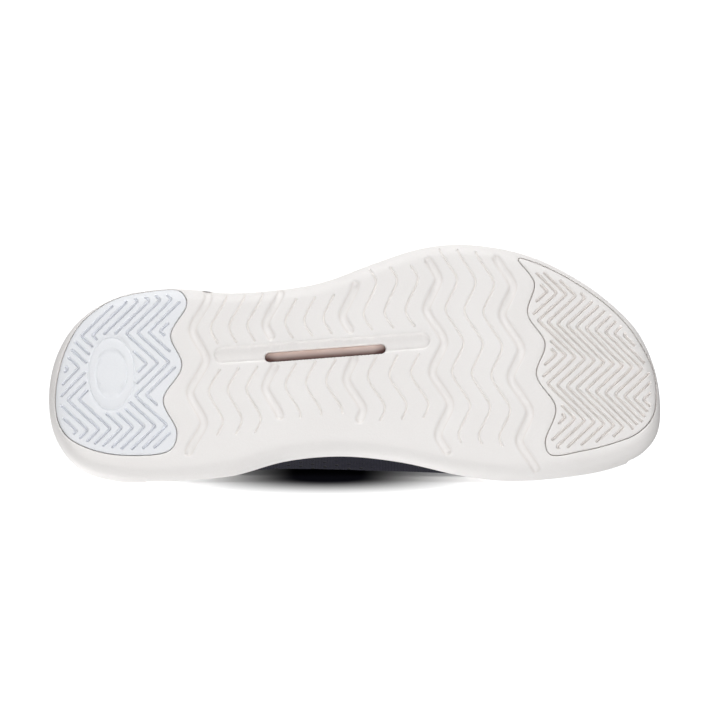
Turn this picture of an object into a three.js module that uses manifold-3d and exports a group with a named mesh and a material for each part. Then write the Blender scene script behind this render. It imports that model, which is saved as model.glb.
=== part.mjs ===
// A low-cut cheer shoe for the right foot, built from the tread up.
// Frame: +X points to the toe, +Y to the inner (medial) side of the foot, +Z up; the tread stands on z = 0.
// All sizes are millimetres.
import * as THREE from "three";
import { mergeVertices } from "three/addons/utils/BufferGeometryUtils.js";
import Module from "manifold-3d";

const wasm = await Module();
wasm.setup();

// ---------------------------------------------------------------- driving dimensions
const GAP = 0.3; // clearance between neighbouring pieces
const SECTIONS = 24; // cross sections from heel to toe
const EDGE_ROUND = 6; // width of the rounded tread edge
const LIP_WALL = 2.8; // inset of the cup's inner wall from the widest outline
const PAD_DEPTH = 3; // thickness of the two rubber tread pads
const TREAD_CUT = 1.5; // depth of the tread grooves
const THIN_CUT = 0.8; // width of the thin tread lines
const WIDE_CUT = 2.8; // width of the wide tread grooves
const PAD_CUT = 1.6; // width of the herringbone grooves
const FABRIC = 1.8; // thickness of the outer fabric
const OVERLAY = 1.1; // thickness of the parts bonded on that fabric
const UPPER_INSET = LIP_WALL + GAP; // outer fabric stands just inside the cup wall
const PADDING = 3.5; // collar foam
const LINING = 1.2; // collar lining
const BOARD = 1.2; // lasting board
const INSOLE = 4;
const TONGUE_DROP = 5.4; // tongue surface below the surface of the outer fabric
const TONGUE = 4.2; // tongue thickness
const FLEX_X = 52.5; // the ball of the foot, where the sole flexes
const FLEX_Z = 21; // height of the flex axis, at the top of the insole
const FLEX_ROOM = THREE.MathUtils.degToRad(18.5); // half of the wedge left free above that axis
const FOLD_X = -15; // where the tongue top folds
const EYELET_ROWS = 5;
const EYELET_PITCH = 9.5;
const EYELET_FIRST_X = 29;
const EYELET_RADIUS = 2.5;
const LACE_RADIUS = 1.25;
const FAR = 400; // well outside the shoe

// Smooth curve through (x, value) pairs that never overshoots them.
function through(points) {
  const slopes = points.slice(1).map((p, i) => (p[1] - points[i][1]) / (p[0] - points[i][0]));
  const tangents = points.map((p, i) => {
    const before = slopes[Math.max(i - 1, 0)];
    const after = slopes[Math.min(i, slopes.length - 1)];
    return before * after > 0 ? (2 * before * after) / (before + after) : 0;
  });
  return (x) => {
    if (x <= points[0][0]) {
      return points[0][1];
    }
    if (x >= points[points.length - 1][0]) {
      return points[points.length - 1][1];
    }
    const i = points.findIndex((p) => p[0] > x) - 1;
    const span = points[i + 1][0] - points[i][0];
    const t = (x - points[i][0]) / span;
    const bend = t * t * (3 - 2 * t);
    const lead = t * (1 - t) * (1 - t);
    const tail = t * t * (t - 1);
    return points[i][1] + (points[i + 1][1] - points[i][1]) * bend
      + span * (tangents[i] * lead + tangents[i + 1] * tail);
  };
}

// Profiles along the shoe, as functions of x.
const treadZ = through([[-134, 4.5], [-122, 1.2], [-108, 0], [68, 0], [88, 0.8], [104, 3], [120, 6], [134, 9.5]]);
const floorZ = through([[-134, 22], [-80, 21], [-20, 18.5], [40, 14.5], [80, 14.5], [110, 18], [134, 23]]);
const lipZ = through([[-134, 30], [-80, 28.5], [-20, 25], [40, 22], [80, 22.5], [110, 27], [134, 32.5]]);
const ridgeZ = through([[-112, 102], [-80, 110], [-50, 111], [-30, 103], [-10, 90], [10, 78.5], [30, 69],
  [50, 61.5], [70, 55.5], [90, 50.5], [106, 46]]);
const ridgeY = through([[-112, 10], [-60, 9], [0, 6], [50, 5], [90, 12], [106, 20]]);
const swellInner = through([[-134, 2.2], [-118, 2.2], [-80, 4], [-40, 8], [0, 10.5], [40, 6], [70, 3.2],
  [115, 2], [134, 2]]);
const swellOuter = through([[-134, 2.2], [-118, 2.2], [-40, 4], [0, 4.5], [50, 3], [115, 2], [134, 2]]);
const topLineZ = through([[-140, 80], [-118, 76], [-100, 67], [-80, 61], [-58, 62], [-35, 70], [-12, 83], [20, 110]]);
const throatHalf = through([[-30, 17], [0, 13.5], [34, 8]]);
const HEEL_TOP_X = -112;
const TOE_TOP_X = 106;

// The sole's widest outline: heel tip, outer side, toe tip, inner side.
const OUTLINE = [
  [-134, 15], [-130.5, -3], [-121, -17.5], [-104, -28], [-80, -31.8], [-56, -30], [-37, -31],
  [-15, -34.5], [8, -43], [26, -49], [42, -51.5], [60, -50.3], [78, -45.8], [96, -37.2], [111, -27],
  [124, -14], [131.5, 2], [134, 19], [132.5, 31], [126, 39.5], [112, 45.8], [92, 49.8], [68, 51.6],
  [44, 49], [18, 43.6], [-6, 41.2], [-30, 43.2], [-54, 49.6], [-80, 52.6], [-104, 52], [-121, 46.5], [-131, 33],
];
const TOE_INDEX = 17;

// Tread pattern: zigzag grooves whose corners lie on rows that follow the curve of the foot.
const ROW_PITCH = 13.8;
const ROW_FIRST = -27;
const ZIG = 3.2; // half height of the zigzag between the pads
const rowDrift = through([[-134, 4], [-68, 0], [-34, -2.5], [1, -6], [36, -8.5], [70, -5.5], [88, -2.8], [134, 4]]);
const rowLean = through([[-68, -0.03], [-34, 0], [1, 0.06], [36, 0.09], [70, 0.13], [110, 0.15]]);
const WIDE_GROOVES = [
  { x: -68, spans: [[-0.3, 4.9]] },
  { x: -35.7, spans: [[0.05, 1.4], [2.4, 3.95]] },
  { x: -1.3, spans: [[0.05, 1.45], [2.4, 4.3]] },
  { x: 35.7, spans: [[-0.55, 5.5]] },
  { x: 69.3, spans: [[-0.8, 5.8]] },
];
const THIN_SPANS = [
  [[0, 1.5], [2.35, 4.4]],
  [[0.3, 1.5], [2.35, 4.05]],
  [[-0.4, 1.5], [2.4, 4.4]],
  [[-0.95, 5.2]],
];
const HEEL_PAD = [[-77, -30.2], [-73.5, -24.5], [-80.5, -10.5], [-75.5, 3], [-83.5, 18], [-77.5, 32], [-80, 39.5],
  [-98, 42], [-114, 39.5], [-125, 33.5], [-129.5, 25.5], [-130.3, 14], [-128.5, 3.5], [-126, -4.5],
  [-120.5, -14.5], [-114, -21], [-105, -26.5], [-92, -29.6]];
const TOE_PAD = [[78.3, -42.6], [92, -36.3], [108.6, -25.5], [119.5, -15.2], [127, -4], [130.6, 3.5],
  [131.8, 14], [130, 24], [123.3, 31.5], [113, 36], [99, 39.8], [84.8, 41.5], [82.8, 36.5], [87.5, 21.3],
  [79.2, 7], [83, -7], [75.5, -20], [78.5, -33.5], [71.5, -44.2]];
const BADGE = { x: -106, y: 6.5, halfLength: 10, halfWidth: 15.5, ring: 2.6 };
const SLOT = { from: [-61.3, -1.3], to: [32.6, -8.3], width: 7, depth: 1.6 };
const WINDOW = { from: [-39.3, -0.9], to: [13.4, -4.9], width: 5 };
const SHANK = { from: [-66, -0.6], to: [36, -8.6], width: 20, thickness: 1.6, ribDepth: 4.4 };

// ---------------------------------------------------------------- solids
function toSolid(geometry) {
  const bare = geometry.index ? geometry.toNonIndexed() : geometry.clone();
  bare.deleteAttribute("normal");
  bare.deleteAttribute("uv");
  const merged = mergeVertices(bare, 1e-4);
  const index = Array.from(merged.index.array);
  const triangles = [];
  for (let i = 0; i < index.length; i += 3) {
    const [a, b, c] = index.slice(i, i + 3);
    if (a !== b && b !== c && c !== a) {
      triangles.push(a, b, c);
    }
  }
  return new wasm.Manifold(new wasm.Mesh({
    numProp: 3,
    vertProperties: Float32Array.from(merged.attributes.position.array),
    triVerts: Uint32Array.from(triangles),
  }));
}

function fromSolid(solid) {
  const mesh = solid.getMesh();
  const geometry = new THREE.BufferGeometry();
  geometry.setAttribute("position", new THREE.BufferAttribute(Float32Array.from(mesh.vertProperties), 3));
  geometry.setIndex(Array.from(mesh.triVerts));
  return geometry;
}

// Closed body through a row of equal loops; a loop that folds flat onto itself closes an end.
function loft(loops) {
  const positions = [];
  const quad = (a, b, c, d) => {
    for (const p of [a, b, c, a, c, d]) {
      positions.push(p.x, p.y, p.z);
    }
  };
  const count = loops[0].length;
  for (let i = 0; i + 1 < loops.length; i += 1) {
    for (let j = 0; j < count; j += 1) {
      const next = (j + 1) % count;
      quad(loops[i][j], loops[i][next], loops[i + 1][next], loops[i + 1][j]);
    }
  }
  const geometry = new THREE.BufferGeometry();
  geometry.setAttribute("position", new THREE.Float32BufferAttribute(positions, 3));
  return toSolid(geometry);
}

// Straight-sided region seen from above, from z0 to z1.
function planRegion(points, z0, z1) {
  const shape = new THREE.Shape(points.map((p) => new THREE.Vector2(p[0], p[1])));
  const geometry = new THREE.ExtrudeGeometry(shape, { depth: z1 - z0, bevelEnabled: false });
  return toSolid(geometry.translate(0, 0, z0));
}

// Straight-sided region seen from the side (x, z), from y0 to y1.
function sideRegion(points, y0, y1) {
  const shape = new THREE.Shape(points.map((p) => new THREE.Vector2(p[0], p[1])));
  const geometry = new THREE.ExtrudeGeometry(shape, { depth: y1 - y0, bevelEnabled: false });
  return toSolid(geometry.rotateX(Math.PI / 2).translate(0, y1, 0));
}

function joined(solids) {
  return solids.reduce((sum, solid) => sum.add(solid));
}

// ---------------------------------------------------------------- the sole's outline
const outlineCurve = new THREE.CatmullRomCurve3(
  OUTLINE.map(([x, y]) => new THREE.Vector3(x, y, 0)), true, "centripetal");
outlineCurve.arcLengthDivisions = 1600;
const lengths = outlineCurve.getLengths();
const toeShare = lengths[Math.round((1600 * TOE_INDEX) / OUTLINE.length)] / lengths[1600];

// Point of the outline moved inwards; side is -1 outer or +1 inner, s runs from heel 0 to toe 1.
function edgePoint(side, s, inset) {
  const u = side < 0 || s === 1 ? toeShare * s : 1 - (1 - toeShare) * s;
  const wrapped = THREE.MathUtils.euclideanModulo(u, 1);
  const point = outlineCurve.getPointAt(wrapped);
  const tangent = outlineCurve.getTangentAt(wrapped);
  return new THREE.Vector3(point.x - tangent.y * inset, point.y + tangent.x * inset, 0);
}

const stationS = Array.from({ length: SECTIONS + 1 }, (_, i) => {
  const t = i / SECTIONS;
  return 0.45 * t + 0.55 * (1 - Math.cos(Math.PI * t)) * 0.5;
});

// One closed loop: down the outer side and back up the inner side.
// Each level is [inset, height function, swell]; the last level is the lowest.
function sectionLoop(s, levels) {
  const row = (side) => levels.map(([inset, height]) => {
    const p = edgePoint(side, s, inset);
    return new THREE.Vector3(p.x, p.y, height(p.x));
  });
  return [...row(-1), ...row(1).reverse()];
}

function soleLoft(levels) {
  return loft(stationS.map((s) => sectionLoop(s, levels)));
}

const above = (profile, rise) => (x) => profile(x) + rise;

function slabBelow(depth) {
  return soleLoft([[-6, above(treadZ, depth)], [-6, () => -20]]);
}

// ---------------------------------------------------------------- tread pattern
function rowPoint(x, r, height) {
  const corner = Math.abs((((r % 2) + 2) % 2) - 1) * 2 - 1;
  const shifted = x + height * corner;
  const y = ROW_FIRST + ROW_PITCH * r + rowDrift(shifted);
  return new THREE.Vector2(shifted + rowLean(x) * ROW_PITCH * (r - 2), y);
}

function zigzagLine(x, [from, to], height) {
  const stops = [from];
  for (let r = Math.ceil(from + 0.01); r < to - 0.01; r += 1) {
    stops.push(r);
  }
  stops.push(to);
  return stops.map((r) => rowPoint(x, r, height));
}

// Band of even width along a line, seen from above.
function band(line, width) {
  const half = width / 2;
  const left = [];
  const right = [];
  line.forEach((p, i) => {
    const before = line[Math.max(i - 1, 0)];
    const after = line[Math.min(i + 1, line.length - 1)];
    const into = (i > 0 ? p.clone().sub(before) : after.clone().sub(p)).normalize();
    const out = (i + 1 < line.length ? after.clone().sub(p) : p.clone().sub(before)).normalize();
    const mitre = new THREE.Vector2(-into.y - out.y, into.x + out.x).normalize();
    const reach = half / Math.max(mitre.dot(new THREE.Vector2(-into.y, into.x)), 0.5);
    left.push([p.x + mitre.x * reach, p.y + mitre.y * reach]);
    right.unshift([p.x - mitre.x * reach, p.y - mitre.y * reach]);
  });
  return [...left, ...right];
}

function oval(centreX, centreY, rx, ry, steps) {
  return Array.from({ length: steps }, (_, i) => {
    const a = (2 * Math.PI * i) / steps;
    return [centreX + rx * Math.cos(a), centreY + ry * Math.sin(a)];
  });
}

// Slot with rounded ends.
function slotOutline({ from, to, width }, grow = 0) {
  const a = new THREE.Vector2(...from);
  const b = new THREE.Vector2(...to);
  const half = width / 2 + grow;
  const turn = Math.atan2(b.y - a.y, b.x - a.x);
  const corner = (centre, start, i) => {
    const angle = turn + start + (Math.PI * i) / 6;
    return [centre.x + half * Math.cos(angle), centre.y + half * Math.sin(angle)];
  };
  const inset = width / 2;
  const along = b.clone().sub(a).normalize().multiplyScalar(inset);
  a.add(along);
  b.sub(along);
  const steps = [0, 1, 2, 3, 4, 5, 6];
  return [...steps.map((i) => corner(b, -Math.PI / 2, i)), ...steps.map((i) => corner(a, Math.PI / 2, i))];
}

// Outline moved inwards by an even distance (negative moves it out).
function insetOutline(points, distance) {
  return points.map((p, i) => {
    const here = new THREE.Vector2(...p);
    const into = here.clone().sub(new THREE.Vector2(...points.at(i - 1))).normalize();
    const out = new THREE.Vector2(...points[(i + 1) % points.length]).sub(here).normalize();
    const mitre = new THREE.Vector2(-into.y - out.y, into.x + out.x).normalize();
    const reach = distance / Math.max(mitre.dot(new THREE.Vector2(-into.y, into.x)), 0.5);
    return [here.x + mitre.x * reach, here.y + mitre.y * reach];
  });
}

const soleBlock = soleLoft([
  [1, lipZ], [0, above(treadZ, 7)], [0.7, above(treadZ, 2.8)], [2.4, above(treadZ, 1)], [EDGE_ROUND, treadZ],
]);
const cup = soleLoft([[LIP_WALL, above(lipZ, 20)], [LIP_WALL, floorZ]]);

const grooves = [];
WIDE_GROOVES.forEach(({ x, spans }, i) => {
  spans.forEach((span) => grooves.push(band(zigzagLine(x, span, ZIG), WIDE_CUT)));
  const next = WIDE_GROOVES[i + 1];
  if (next) {
    for (const share of [0.25, 0.5, 0.75]) {
      const between = x + (next.x - x) * share;
      const splitLine = i === 3 && share === 0.5;
      if (!splitLine) {
        THIN_SPANS[i].forEach((span) => grooves.push(band(zigzagLine(between, span, ZIG), THIN_CUT)));
      }
    }
  }
});
const grooveCut = joined(grooves.map((points) => planRegion(points, -20, 20))).intersect(slabBelow(TREAD_CUT));

function herringbone(outline, first, last, pitch) {
  const bands = [];
  for (let x = first; x <= last; x += pitch) {
    bands.push(planRegion(band(zigzagLine(x, [-2, 6], ROW_PITCH / 2), PAD_CUT), -20, 20));
  }
  const field = planRegion(insetOutline(outline, 2.6), -15, 15);
  return joined(bands).intersect(field).intersect(slabBelow(TREAD_CUT));
}

function treadPad(outline) {
  return soleBlock.intersect(planRegion(outline, -20, 20)).intersect(slabBelow(PAD_DEPTH));
}

function padPocket(outline) {
  return planRegion(insetOutline(outline, -GAP), -20, 20).intersect(slabBelow(PAD_DEPTH + GAP));
}

const badgeArea = planRegion(oval(BADGE.x, BADGE.y, BADGE.halfLength + 1.6, BADGE.halfWidth + 1.6, 20), -20, 20);
const badgeRing = planRegion(
  oval(BADGE.x, BADGE.y, BADGE.halfLength - BADGE.ring, BADGE.halfWidth - BADGE.ring, 20), -20, 1).subtract(
  planRegion(oval(BADGE.x, BADGE.y, BADGE.halfLength - BADGE.ring - 1.2, BADGE.halfWidth - BADGE.ring - 1.2, 20), -20, 1));
const heelPad = treadPad(HEEL_PAD).subtract(herringbone(HEEL_PAD, -137, -62, 4.9).subtract(badgeArea))
  .subtract(badgeRing);
const toePad = treadPad(TOE_PAD).subtract(herringbone(TOE_PAD, 68, 138, 4.2));

const shankPlan = slotOutline(SHANK);
const shankTop = (x) => floorZ(x) - 0.2;
const shankBed = soleLoft([[-6, shankTop], [-6, above(shankTop, -SHANK.thickness)]]);
const shankRib = planRegion(slotOutline(WINDOW, -GAP), SHANK.ribDepth, 15);
const shankPlate = planRegion(shankPlan, -20, 40).intersect(shankBed).add(shankRib);
const shankPocket = planRegion(slotOutline(SHANK, GAP), -20, 40)
  .intersect(soleLoft([[-6, above(floorZ, 6)], [-6, above(shankTop, -SHANK.thickness - GAP)]]));

// ---------------------------------------------------------------- flex split
const wedgeHalf = (rise, shrink) => GAP / 2 + Math.tan(FLEX_ROOM) * rise - shrink / Math.cos(FLEX_ROOM);
const flexWedge = sideRegion([
  [FLEX_X - GAP / 2, 0], [FLEX_X + GAP / 2, 0], [FLEX_X + GAP / 2, FLEX_Z],
  [FLEX_X + wedgeHalf(80, 0), FLEX_Z + 80], [FLEX_X - wedgeHalf(80, 0), FLEX_Z + 80],
  [FLEX_X - GAP / 2, FLEX_Z],
], -FAR / 2, FAR / 2);
const flexRoom = sideRegion([
  [FLEX_X - wedgeHalf(4, GAP), FLEX_Z + 4], [FLEX_X + wedgeHalf(4, GAP), FLEX_Z + 4],
  [FLEX_X + wedgeHalf(80, GAP), FLEX_Z + 80], [FLEX_X - wedgeHalf(80, GAP), FLEX_Z + 80],
], -FAR / 2, FAR / 2);
const splitMiddle = zigzagLine(FLEX_X, [-0.5, 5], ZIG);
const splitLine = [
  new THREE.Vector2(FLEX_X, -FAR / 2), new THREE.Vector2(FLEX_X, splitMiddle[0].y - 3),
  ...splitMiddle,
  new THREE.Vector2(FLEX_X, splitMiddle.at(-1).y + 3), new THREE.Vector2(FLEX_X, FAR / 2),
];
const soleSplit = planRegion(band(splitLine, GAP), -20, FLEX_Z).add(
  flexWedge.intersect(planRegion([[0, -FAR], [FAR, -FAR], [FAR, FAR], [0, FAR]], FLEX_Z - 0.5, FAR)));
const rearSide = planRegion([[-FAR, -FAR], [FLEX_X, -FAR], [FLEX_X, FAR], [-FAR, FAR]], -FAR, FAR);

function bodies(solid) {
  return solid.decompose().sort((a, b) => b.volume() - a.volume());
}

// The two largest bodies of a split piece: [rear, front].
function rearAndFront(solid) {
  const [a, b] = bodies(solid);
  return a.boundingBox().min[0] < b.boundingBox().min[0] ? [a, b] : [b, a];
}

const midsole = soleBlock.subtract(cup).subtract(grooveCut).subtract(padPocket(HEEL_PAD))
  .subtract(padPocket(TOE_PAD))
  .subtract(planRegion(slotOutline(SLOT), -20, SLOT.depth))
  .subtract(planRegion(slotOutline(WINDOW), -20, 16))
  .subtract(shankPocket);
const [midsoleRear, midsoleFront] = rearAndFront(midsole.subtract(soleSplit));
const boardInset = UPPER_INSET + FABRIC + GAP;
const upTo = (inset, profile, rise) => soleLoft([[inset, above(profile, rise)], [inset, () => -20]]);
const board = soleLoft([[boardInset, above(floorZ, GAP + BOARD)], [boardInset, () => 0]])
  .subtract(upTo(LIP_WALL, floorZ, GAP));
const [boardRear, boardFront] = rearAndFront(board.subtract(flexWedge));
const insoleBase = 2 * GAP + BOARD;
const insole = soleLoft([
  [8.4, above(floorZ, insoleBase + INSOLE)], [7.2, above(floorZ, insoleBase + INSOLE - 1)], [7, () => 0],
]).subtract(upTo(boardInset, floorZ, insoleBase));
const [insoleRear, insoleFront] = rearAndFront(insole.subtract(flexWedge));

// ---------------------------------------------------------------- the upper's surface
const LEVELS = [0, 0.11, 0.2, 0.32, 0.48, 0.66, 0.84, 1];
const FULLNESS = 2.5;

function ridgePoint(s, depth) {
  const middle = (edgePoint(-1, s, 0).x + edgePoint(1, s, 0).x) / 2;
  const x = THREE.MathUtils.mapLinear(middle, OUTLINE[0][0], OUTLINE[TOE_INDEX][0], HEEL_TOP_X, TOE_TOP_X);
  return new THREE.Vector3(x, ridgeY(x), ridgeZ(x) - depth);
}

// Point of the upper, depth below its outer surface; v runs from the sole 0 to the ridge 1.
function upperPoint(side, s, v, depth) {
  const foot = edgePoint(side, s, UPPER_INSET + depth);
  const outside = edgePoint(side, s, UPPER_INSET + depth - 1);
  const ridge = ridgePoint(s, depth);
  const angle = (v * Math.PI) / 2;
  const reach = Math.max(Math.cos(angle), 0) ** (2 / FULLNESS);
  const rise = Math.sin(angle) ** (2 / 2.15);
  const swell = (side > 0 ? swellInner : swellOuter)(foot.x)
    * THREE.MathUtils.smoothstep(v, 0.1, 0.34) * (1 - THREE.MathUtils.smoothstep(v, 0.34, 0.92));
  const base = floorZ(foot.x) + GAP;
  return new THREE.Vector3(
    ridge.x + (foot.x - ridge.x) * reach + (outside.x - foot.x) * swell,
    ridge.y + (foot.y - ridge.y) * reach + (outside.y - foot.y) * swell,
    base + (ridge.z - base) * rise);
}

function upperSolid(depth, drop) {
  return loft(stationS.map((s) => {
    const row = (side) => {
      const points = LEVELS.map((v) => upperPoint(side, s, v, depth)).reverse();
      const low = points.at(-1).clone();
      low.z -= drop;
      return drop ? [...points, low] : points;
    };
    const outer = row(-1);
    const inner = row(1).slice(1).reverse();
    return [...outer, ...inner];
  }));
}

const solidAt = new Map();

function upperAt(depth) {
  if (!solidAt.has(depth)) {
    solidAt.set(depth, upperSolid(depth, depth > 0 ? 8 : 0));
  }
  return solidAt.get(depth);
}

function shell(from, to) {
  return upperAt(from).subtract(upperAt(to));
}

function stripOver(profile, from, to, steps) {
  return Array.from({ length: steps + 1 }, (_, i) => {
    const x = from + ((to - from) * i) / steps;
    return [x, profile(x)];
  });
}

// Everything above the top line is open.
const footOpening = sideRegion([...stripOver(topLineZ, -150, 16, 16), [16, FAR], [-150, FAR]], -FAR / 2, FAR / 2);
const throatEdge = (sign, grow) => (x) => ridgeY(x) + sign * (throatHalf(x) + grow);
function throatPlan(grow, from, to) {
  return [...stripOver(throatEdge(-1, grow), from, to, 5), ...stripOver(throatEdge(1, grow), from, to, 5).reverse()];
}
const THROAT_END = 34;
const throat = planRegion(throatPlan(0, -60, THROAT_END), 40, FAR);
const openings = footOpening.add(throat);

function sideOf(sign) {
  const line = stripOver((x) => ridgeY(x) + (sign * GAP) / 2, -160, 160, 12);
  const far = [[160, sign * FAR], [-160, sign * FAR]];
  const points = [...line, ...far];
  return planRegion(sign > 0 ? points : points.reverse(), -FAR, FAR);
}

const RUN_DEPTH = FABRIC + GAP + LACE_RADIUS + 0.15;
const BAR_HEIGHT = OVERLAY + 2 * GAP + LACE_RADIUS;

function halving(low, high, isLow) {
  let [from, to] = [low, high];
  for (let i = 0; i < 40; i += 1) {
    const middle = (from + to) / 2;
    [from, to] = isLow(middle) ? [middle, to] : [from, middle];
  }
  return (from + to) / 2;
}

// Eyelet: centre, outward direction, and the lace's place over the throat edge beside it.
function eyelet(side, row) {
  const x = EYELET_FIRST_X - row * EYELET_PITCH;
  const s = halving(0, 1, (share) => ridgePoint(share, 0).x < x);
  const levelAt = (distance) => halving(0.2, 1, (level) => (
    Math.abs(upperPoint(side, s, level, 0).y - ridgePoint(s, 0).y) > throatHalf(x) + distance));
  const v = levelAt(5.2);
  const centre = upperPoint(side, s, v, 0);
  const along = upperPoint(side, s + 0.01, v, 0).sub(upperPoint(side, s - 0.01, v, 0));
  const upward = upperPoint(side, s, v + 0.01, 0).sub(upperPoint(side, s, v - 0.01, 0));
  const normal = along.cross(upward).normalize();
  const rim = upperPoint(side, s, levelAt(0.4), -BAR_HEIGHT - 0.2);
  return { centre, rim, normal: normal.z < 0 ? normal.negate() : normal };
}

const eyelets = [-1, 1].map((side) => Array.from({ length: EYELET_ROWS }, (_, row) => eyelet(side, row)));
const eyeletHoles = joined(eyelets.flat().map(({ centre, normal }) => {
  const hole = new THREE.CylinderGeometry(EYELET_RADIUS, EYELET_RADIUS, 9, 8);
  hole.applyQuaternion(new THREE.Quaternion().setFromUnitVectors(new THREE.Vector3(0, 1, 0), normal));
  return toSolid(hole.translate(centre.x, centre.y, centre.z));
}));

// ---------------------------------------------------------------- the upper's pieces
const fabric = shell(0, FABRIC).subtract(openings);
const rearFabric = fabric.subtract(flexWedge).intersect(rearSide).subtract(eyeletHoles);
const quarterOuter = bodies(rearFabric.intersect(sideOf(-1)))[0];
const quarterInner = bodies(rearFabric.intersect(sideOf(1)))[0];
const toeBox = bodies(fabric.subtract(flexWedge).subtract(rearSide))[0];
const vampFlex = bodies(fabric.intersect(flexRoom))[0];

const overlay = shell(-GAP - OVERLAY, -GAP);
const eyestayPlan = (sign) => {
  const inner = stripOver(throatEdge(sign, 0), -30, THROAT_END - 1, 5);
  const outer = stripOver(throatEdge(sign, 11), -30, THROAT_END - 1, 5).reverse();
  const points = [...inner, ...outer];
  return planRegion(sign > 0 ? points.reverse() : points, 40, FAR);
};
const trimmedTopLine = sideRegion(
  [...stripOver(above(topLineZ, -1.2), -150, 16, 16), [16, FAR], [-150, FAR]], -FAR / 2, FAR / 2);
const eyestay = (sign) => bodies(overlay.intersect(eyestayPlan(sign)).subtract(trimmedTopLine)
  .subtract(flexWedge).subtract(eyeletHoles))[0];
const aboveLip = sideRegion([...stripOver(above(lipZ, 1), -150, 150, 20), [150, FAR], [-150, FAR]],
  -FAR / 2, FAR / 2);
const backstay = bodies(overlay.intersect(sideRegion([[-150, 0], [-112, 0], [-118, 65.5], [-150, 65.5]],
  -1, 21)).intersect(aboveLip).subtract(trimmedTopLine))[0];
const toeGuard = bodies(overlay.intersect(aboveLip).intersect(sideRegion(
  [[84, 20], [150, 20], [150, 47], [122, 45.5], [106, 36]], -FAR / 2, FAR / 2)))[0];

const collarBand = (from, to, front) => sideRegion([
  ...stripOver(above(topLineZ, -from), -150, front, 12),
  ...stripOver(above(topLineZ, -to), -150, front, 12).reverse(),
].reverse(), -FAR / 2, FAR / 2);
const padding = bodies(shell(FABRIC + GAP, FABRIC + GAP + PADDING).intersect(collarBand(0.6, 24, -24)))[0];
const liningDepth = FABRIC + 2 * GAP + PADDING;
const lining = bodies(shell(liningDepth, liningDepth + LINING).intersect(collarBand(0.6, 27, -24)))[0];
const stiffener = shell(FABRIC + GAP, FABRIC + GAP + 1.2);
const counter = bodies(stiffener.intersect(sideRegion([
  [-150, 24.2], [-72, 23], [-78, 34], ...stripOver(above(topLineZ, -24.6), -150, -84, 6).reverse(),
], -FAR / 2, FAR / 2)))[0];
const toePuff = bodies(stiffener.intersect(sideRegion(
  [[88, 19], [105, 21.2], [150, 28], [150, FAR], [92, FAR]], -FAR / 2, FAR / 2)))[0];

const tongueShell = shell(TONGUE_DROP, TONGUE_DROP + TONGUE);
const tonguePlan = (from, to) => {
  const half = through([[-34, 14], [-29, 19], [0, 19.5], [36, 13]]);
  const points = [...stripOver((x) => ridgeY(x) - half(x), from, to, 5),
    ...stripOver((x) => ridgeY(x) + half(x), from, to, 5).reverse()];
  return planRegion(points, 40, FAR);
};
const tongueLower = bodies(tongueShell.intersect(tonguePlan(FOLD_X + GAP, THROAT_END)).subtract(flexWedge))[0];
const tongueTop = bodies(tongueShell.intersect(tonguePlan(-33, FOLD_X)))[0];

// ---------------------------------------------------------------- lace and pull loop
// Round cord along a line of points, closed at both ends.
function cord(points, radius, sides) {
  const loops = [];
  let side = new THREE.Vector3(0, 0, 1);
  points.forEach((p, i) => {
    const ahead = points[Math.min(i + 1, points.length - 1)].clone();
    const heading = ahead.sub(points[Math.max(i - 1, 0)]).normalize();
    side = side.sub(heading.clone().multiplyScalar(side.dot(heading))).normalize();
    const across = heading.clone().cross(side);
    loops.push(Array.from({ length: sides }, (_, k) => {
      const a = (2 * Math.PI * k) / sides;
      return p.clone().addScaledVector(side, radius * Math.cos(a)).addScaledVector(across, radius * Math.sin(a));
    }));
  });
  const closed = (loop, p) => loop.map(() => p.clone());
  return loft([closed(loops[0], points[0]), ...loops, closed(loops[0], points.at(-1))]);
}

function rounded(corners, radius, steps) {
  return corners.flatMap((p, i) => {
    if (i === 0 || i === corners.length - 1) {
      return [p];
    }
    const back = corners[i - 1].clone().sub(p);
    const ahead = corners[i + 1].clone().sub(p);
    const reach = Math.min(radius, back.length() / 2.05, ahead.length() / 2.05);
    const a = p.clone().addScaledVector(back.normalize(), reach);
    const b = p.clone().addScaledVector(ahead.normalize(), reach);
    return new THREE.QuadraticBezierCurve3(a, p, b).getPoints(steps);
  });
}

const laceCorners = [];
for (let row = 0; row < EYELET_ROWS; row += 1) {
  const sides = row % 2 ? [1, 0] : [0, 1];
  const [up, down] = sides.map((k) => eyelets[k][row]);
  laceCorners.push(
    up.centre.clone().addScaledVector(up.normal, -RUN_DEPTH),
    up.centre.clone().addScaledVector(up.normal, BAR_HEIGHT),
    up.rim,
    down.rim,
    down.centre.clone().addScaledVector(down.normal, BAR_HEIGHT),
    down.centre.clone().addScaledVector(down.normal, -RUN_DEPTH));
}
const tuck = (from, towards, length) => from.clone().add(
  from.clone().sub(towards).normalize().multiplyScalar(length));
laceCorners.unshift(tuck(laceCorners[0], laceCorners[6 + 5], 4.5));
laceCorners.push(tuck(laceCorners.at(-1), laceCorners.at(-12), 5));
const lace = cord(rounded(laceCorners, 1.9, 2), LACE_RADIUS, 6);

const LOOP_PROFILE = [[-130.7, 67.5], [-129.1, 78], [-127.6, 91], [-129, 94], [-131.6, 93.6], [-133.4, 88],
  [-133.8, 80], [-132.9, 68.6], [-132.1, 66.9]];
const LOOP_HOLE = [[-131.2, 71], [-130.5, 79], [-129, 90], [-129.6, 92.6], [-131, 92.3], [-132.1, 87.6],
  [-132.5, 80], [-132, 71]];
const pullLoop = sideRegion(LOOP_PROFILE, 3.5, 16.5).subtract(sideRegion(LOOP_HOLE, 0, 20));

// ---------------------------------------------------------------- assembly
const group = new THREE.Group();
group.name = "cheer_shoe";

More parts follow.
